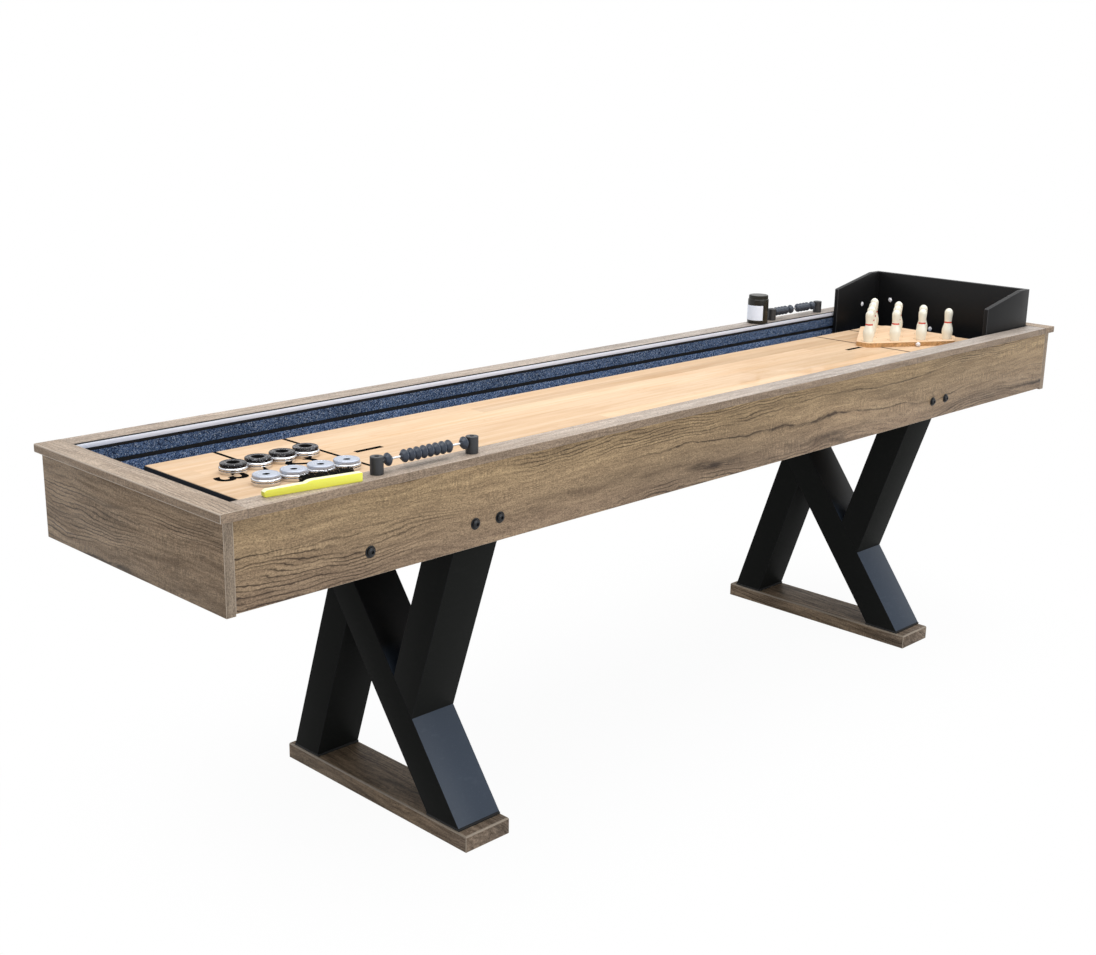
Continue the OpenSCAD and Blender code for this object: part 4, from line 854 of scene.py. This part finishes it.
def build_plate():
    """The pin plate, its tip drawn in a little to where the photograph has it."""
    tip_from, tip_share = 0.905, 0.74
    plate = polished("pin_plate_board", "pin_plate", "plate", [plate_maple, plate_edge, line_black])
    for vert in plate.data.vertices:
        if vert.co.x < tip_from:
            vert.co.x = tip_from - (tip_from - vert.co.x) * tip_share
    repaint(plate, 1, lambda face: abs(face.normal.z) < 0.7)
    repaint(plate, 2, lambda face: plate_high.z - 1.7 * MM < face.center.z < plate_high.z - 0.1 * MM)
    polished("plate_ball_knob", "plate_knob", "plate", [cap_white])


def build_scorers():
    polished("scorer_posts_moulded", "scorer_posts", "table", [post_plastic])
    polished("scorer_rods_and_screws", "scorer_hardware", "table", [rod_steel])
    for node in ("near_bead_left", "near_bead_stack", "near_bead_right", "far_beads_left",
                 "far_beads_right"):
        polished(node + "_moulded", node, node, [bead_plastic], 24)


WASHER_RINGS = ((0, 0), (10.6, 0), (11.2, 0.4), (11.2, 1.0), (10.6, 1.6), (0, 1.6))
HEAD_RINGS = ((0, 0), (8.2, 0), (8.4, 0.5), (8.3, 1.8), (7.7, 3.2), (6.6, 4.2), (5.0, 4.85), (4.2, 5.0),
              (3.4, 4.9), (3.3, 2.4), (0, 2.2))
WASHER_THICKNESS = 1.6 * MM
SOCKET_FLAT = 2.95 * MM


def socket_cut(dome):
    """Turns the round hole in a bolt's head into a hexagon."""
    for vert in dome.vertices:
        reach = vert.co.xy.length
        if 3.0 * MM < reach < 3.6 * MM:
            angle = atan2(vert.co.y, vert.co.x) % (pi / 3) - pi / 6
            vert.co.xy = vert.co.xy * (SOCKET_FLAT / cos(angle) / reach)
    return dome


def build_bolts():
    """Domed heads with a hexagon socket, each on its washer against an apron."""
    washers, heads = [], []
    for points in islands("apron_washers"):
        low, high = corners(points)
        side = 1 if low.y > 0 else -1
        seat = ((low.x + high.x) / 2, side * min(abs(low.y), abs(high.y)), (low.z + high.z) / 2)
        place = Matrix.Translation(seat) @ Matrix.Rotation(-side * pi / 2, 4, "X")
        washers.append((moved(turned(WASHER_RINGS, 48), place), 0))
        lift = Matrix.Translation((0, 0, WASHER_THICKNESS))
        heads.append((moved(socket_cut(turned(HEAD_RINGS, 48)), place @ lift), 0))
    for name, meshes, node in (("apron_washers_flat", washers, "apron_washers"),
                               ("apron_bolts_domed", heads, "apron_bolts")):
        fit(shown(name, joined(meshes), [bolt_black]), "table", [node])


def build_backstop():
    finishes = [board_lacquer, board_edge]
    for name, node in (("back_board", "panel"), ("side_boards", "wings")):
        boards("backstop_" + name, "backstop_" + node, finishes, 0.8, body="backstop")
    polished("backstop_screw_caps", "backstop_caps", "backstop", [cap_white])


BRUSH_PLACE = (-1.2665, -0.273, 0.8)
BRUSH_TURN = -8.3
HANDLE_OUTLINE = ((0.3, 1.2), (4, 0), (181.6, 0), (183.2, 1.6), (183.2, 14.6), (181.6, 16.2), (90, 17),
                  (82, 16), (76, 13.6), (6, 12.8), (0, 9.6))
HANDLE_WIDTH = 12 * MM
BRISTLE_AREA = (91 * MM, 9.6 * MM)
BRISTLE_ROOT = (132 * MM, 11.6 * MM, 7.9 * MM)


def in_brush_frame(mesh):
    """Moves a mesh from the brush's own frame, grip end at the origin, to its place on the rail."""
    return moved(mesh, Matrix.Translation(BRUSH_PLACE) @ Matrix.Rotation(radians(BRUSH_TURN), 4, "Z"))


def build_brush():
    shape = ([(x * MM, z * MM) for x, z in HANDLE_OUTLINE], 0, HANDLE_WIDTH, "Y")
    handle = in_brush_frame(prisms([shape], 0.9 * MM, 3))
    moulded = fit(shown("brush_handle_moulded", handle, [brush_yellow, brush_yellow, brush_painted_highlight]), "brush",
                  ["brush_handle"])
    # The upward faces take the painted highlight.
    repaint(moulded, 2, lambda face: face.normal.z > 0.35)
    field = in_brush_frame(bristle_field(columns=64, rows=12, seed=5, thickness=1.15 * MM, length=24 * MM))
    fit(shown("brush_bristle_field", field, [bristle_black]), "brush", ["brush_bristles"])


BRISTLE_INPUTS = (("Columns", "NodeSocketInt"), ("Rows", "NodeSocketInt"), ("Seed", "NodeSocketInt"),
                  ("Thickness", "NodeSocketFloat"), ("Length", "NodeSocketFloat"))


def bristle_field(**sizes):
    """Rows of tapered strands that fan out from the brush's block, grown by a geometry node tree."""
    tree = bpy.data.node_groups.new("Bristle Field", "GeometryNodeTree")
    tree.interface.new_socket("Geometry", in_out="OUTPUT", socket_type="NodeSocketGeometry")
    for label, kind in BRISTLE_INPUTS:
        tree.interface.new_socket(label, in_out="INPUT", socket_type=kind)
    entry = add(tree, "NodeGroupInput").outputs

    def draw(low, high, offset):
        values = {2: low, 3: high, "Seed": calc(tree, "ADD", entry["Seed"], offset)}
        return add(tree, "FunctionNodeRandomValue", values, data_type="FLOAT").outputs[1]

    area = {"Size X": BRISTLE_AREA[0], "Size Y": BRISTLE_AREA[1], "Vertices X": entry["Columns"],
            "Vertices Y": entry["Rows"]}
    roots = add(tree, "GeometryNodeMeshGrid", area).outputs["Mesh"]
    jitter = together(tree, draw(-0.5 * MM, 0.5 * MM, 1), draw(-0.3 * MM, 0.3 * MM, 2), 0.0)
    roots = add(tree, "GeometryNodeSetPosition", {"Geometry": roots, "Offset": jitter}).outputs[0]
    cone = {"Vertices": 4, "Side Segments": 4, "Radius Top": 0.3, "Radius Bottom": 0.5, "Depth": 1.0}
    strand = add(tree, "GeometryNodeMeshCone", cone).outputs["Mesh"]
    length = times(tree, entry["Length"], draw(0.86, 1.0, 3))
    size = together(tree, entry["Thickness"], entry["Thickness"], length)
    copies = add(tree, "GeometryNodeInstanceOnPoints", {"Points": roots, "Instance": strand, "Scale": size})
    solid = add(tree, "GeometryNodeRealizeInstances", {"Geometry": copies.outputs[0]})

    # The strands bow outwards along their length
    x, y, z = apart(tree, add(tree, "GeometryNodeInputPosition").outputs[0])
    bow = calc(tree, "POWER", calc(tree, "DIVIDE", z, entry["Length"]), 2.0)
    lean_x = times(tree, times(tree, x, 0.13), bow)
    lean_y = times(tree, calc(tree, "MULTIPLY_ADD", y, 0.7, 5.5 * MM), bow)
    lean = {"Geometry": solid.outputs[0], "Offset": together(tree, lean_x, lean_y, 0.0)}
    bowed = add(tree, "GeometryNodeSetPosition", lean)
    finish = add(tree, "GeometryNodeSetMaterial", {"Geometry": bowed.outputs[0], "Material": bristle_black})
    results(tree, finish.outputs[0])

    holder = placed("bristles", bpy.data.meshes.new("bristles"))
    modifier = holder.modifiers.new("field", "NODES")
    modifier.node_group = tree
    for item in tree.interface.items_tree:
        if item.in_out == "INPUT":
            modifier[item.identifier] = sizes[item.name.lower()]
    mesh = evaluated(holder)
    mesh.materials.clear()
    upright_to_brush = Matrix(((1, 0, 0, 0), (0, 0, 1, 0), (0, 1, 0, 0), (0, 0, 0, 1)))
    moved(mesh, Matrix.Translation(BRISTLE_ROOT) @ upright_to_brush)
    mesh.flip_normals()
    return mesh


# The label's reach round the jar in degrees, and its rows' heights in mm
LABEL_TURN = range(-270, -113, 3)
LABEL_ROWS = (9.5, 10.4, 49.6, 50.5)
LABEL_THICKNESS = 0.12 * MM


def rounded(radius, height, bend, start, step, count):
    """Points on a quarter round of a turned profile, centred a bend inside the radius."""
    turns = [radians(start + step * k) for k in range(count)]
    return [(radius - bend + bend * cos(a), height + bend * sin(a)) for a in turns]


def build_jar():
    place, size = footing("wax_jar")
    radius, body = size.x / 2, (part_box("wax_jar_lid")[0].z - place.z) / MM
    rings = [(0, 0), (radius - 2.4, 0)] + rounded(radius, 2.4, 2.4, -75, 15, 6)
    rings += rounded(radius, body - 4, 4, 0, 10, 10)
    rings += [(radius - 6.5, body), (radius - 6.5, body + 5), (0, body + 5)]
    fit(shown("wax_jar_moulded", lathed(rings, place), [jar_dark]), "jar", ["wax_jar"])
    polished("wax_jar_ribbed_lid", "wax_jar_lid", "jar_lid", [lid_dark])
    build_label(place, radius * MM + LABEL_THICKNESS)


def build_label(place, reach):
    """The blank label, a thin curved sheet that turns away to the left of the camera's side."""
    work = bmesh.new()
    turns = [radians(degrees) for degrees in LABEL_TURN]
    rows = [[work.verts.new(place + Vector((reach * cos(a), reach * sin(a), height * MM)))
             for a in turns] for height in LABEL_ROWS]
    for under, over in zip(rows, rows[1:]):
        for k in range(len(under) - 1):
            work.faces.new((under[k], under[k + 1], over[k + 1], over[k]))
    sheet = into_mesh(work, "label")
    label = shown("wax_jar_blank_label", sheet, [label_paper])
    shade_smooth(sheet)
    thick = label.modifiers.new("thickness", "SOLIDIFY")
    thick.thickness = LABEL_THICKNESS
    thick.offset = 1.0
    fit(label, "jar")


build_camera()
build_cabinet()
build_legs()
build_playfield()
build_pucks()
build_pins()
build_plate()
build_scorers()
build_backstop()
build_bolts()
build_brush()
build_jar()


# These CAD nodes have the right shape and only take a finish
for node, finish in (("wall_boards", black_board), ("wall_carpets", wall_carpet),
                     ("gutter_carpet", wall_carpet)):
    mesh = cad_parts[node].data
    mesh.materials.clear()
    mesh.materials.append(finish)


# Stage

def white_to_eye(tree):
    """One for rays that the camera, a glossy surface or a clear one sends out."""
    rays = add(tree, "ShaderNodeLightPath")
    seen = calc(tree, "MAXIMUM", rays.outputs["Is Camera Ray"], rays.outputs["Is Glossy Ray"])
    return calc(tree, "MAXIMUM", seen, rays.outputs["Is Transmission Ray"])


def build_stage():
    """A floor that looks white, and keeps the table's shadow close to its feet."""
    work = bmesh.new()
    bmesh.ops.create_grid(work, x_segments=2, y_segments=2, size=14)
    material, tree, shader, place = begin("studio floor", roughness=0.9, specular=0.1)
    feed(tree, shader.inputs["Base Color"], 0.80)
    shadow_half = (0.8, 0.2)
    beyond_x, beyond_y = (calc(tree, "MAXIMUM", minus(tree, calc(tree, "ABSOLUTE", across), half), 0.0)
                          for across, half in zip(apart(tree, place), shadow_half))
    far_squared = calc(tree, "MULTIPLY_ADD", beyond_x, beyond_x, times(tree, beyond_y, beyond_y))
    share = span(tree, calc(tree, "SQRT", far_squared), 0.03, 0.7, 0.955, 1.0, smooth=True)
    glow = add(tree, "ShaderNodeEmission", {"Color": 1.0, "Strength": 1.0})
    share = times(tree, white_to_eye(tree), share)
    mix = add(tree, "ShaderNodeMixShader", {0: share, 1: shader.outputs[0], 2: glow.outputs[0]})
    feed(tree, tree.nodes["Material Output"].inputs["Surface"], mix.outputs[0])
    shown("floor", into_mesh(work, "floor"), [material])

    world = bpy.data.worlds.new("studio")
    bpy.context.scene.world = world
    world.use_nodes = True
    tree = world.node_tree
    sky = blend(tree, white_to_eye(tree), (0.46, 0.47, 0.50), (1, 1, 1))
    feed(tree, tree.nodes["Background"].inputs["Color"], sky)


def lamp(name, place, aim, size, power, colour=(1, 1, 1)):
    data = bpy.data.lights.new(name, "AREA")
    data.shape = "RECTANGLE"
    data.size, data.size_y = size
    data.energy = power
    data.color = colour
    turn = (Vector(aim) - Vector(place)).to_track_quat("-Z", "Y").to_matrix().to_4x4()
    placed(name, data).matrix_world = Matrix.Translation(place) @ turn


build_stage()
lamp("overhead softbox", (0.0, -0.2, 3.8), (0, 0, 0.7), (6.4, 2.8), 146)
lamp("front softbox", (0.0, -5.2, 2.4), (0, 0, 0.5), (4.4, 2.4), 108, (0.96, 0.98, 1.0))
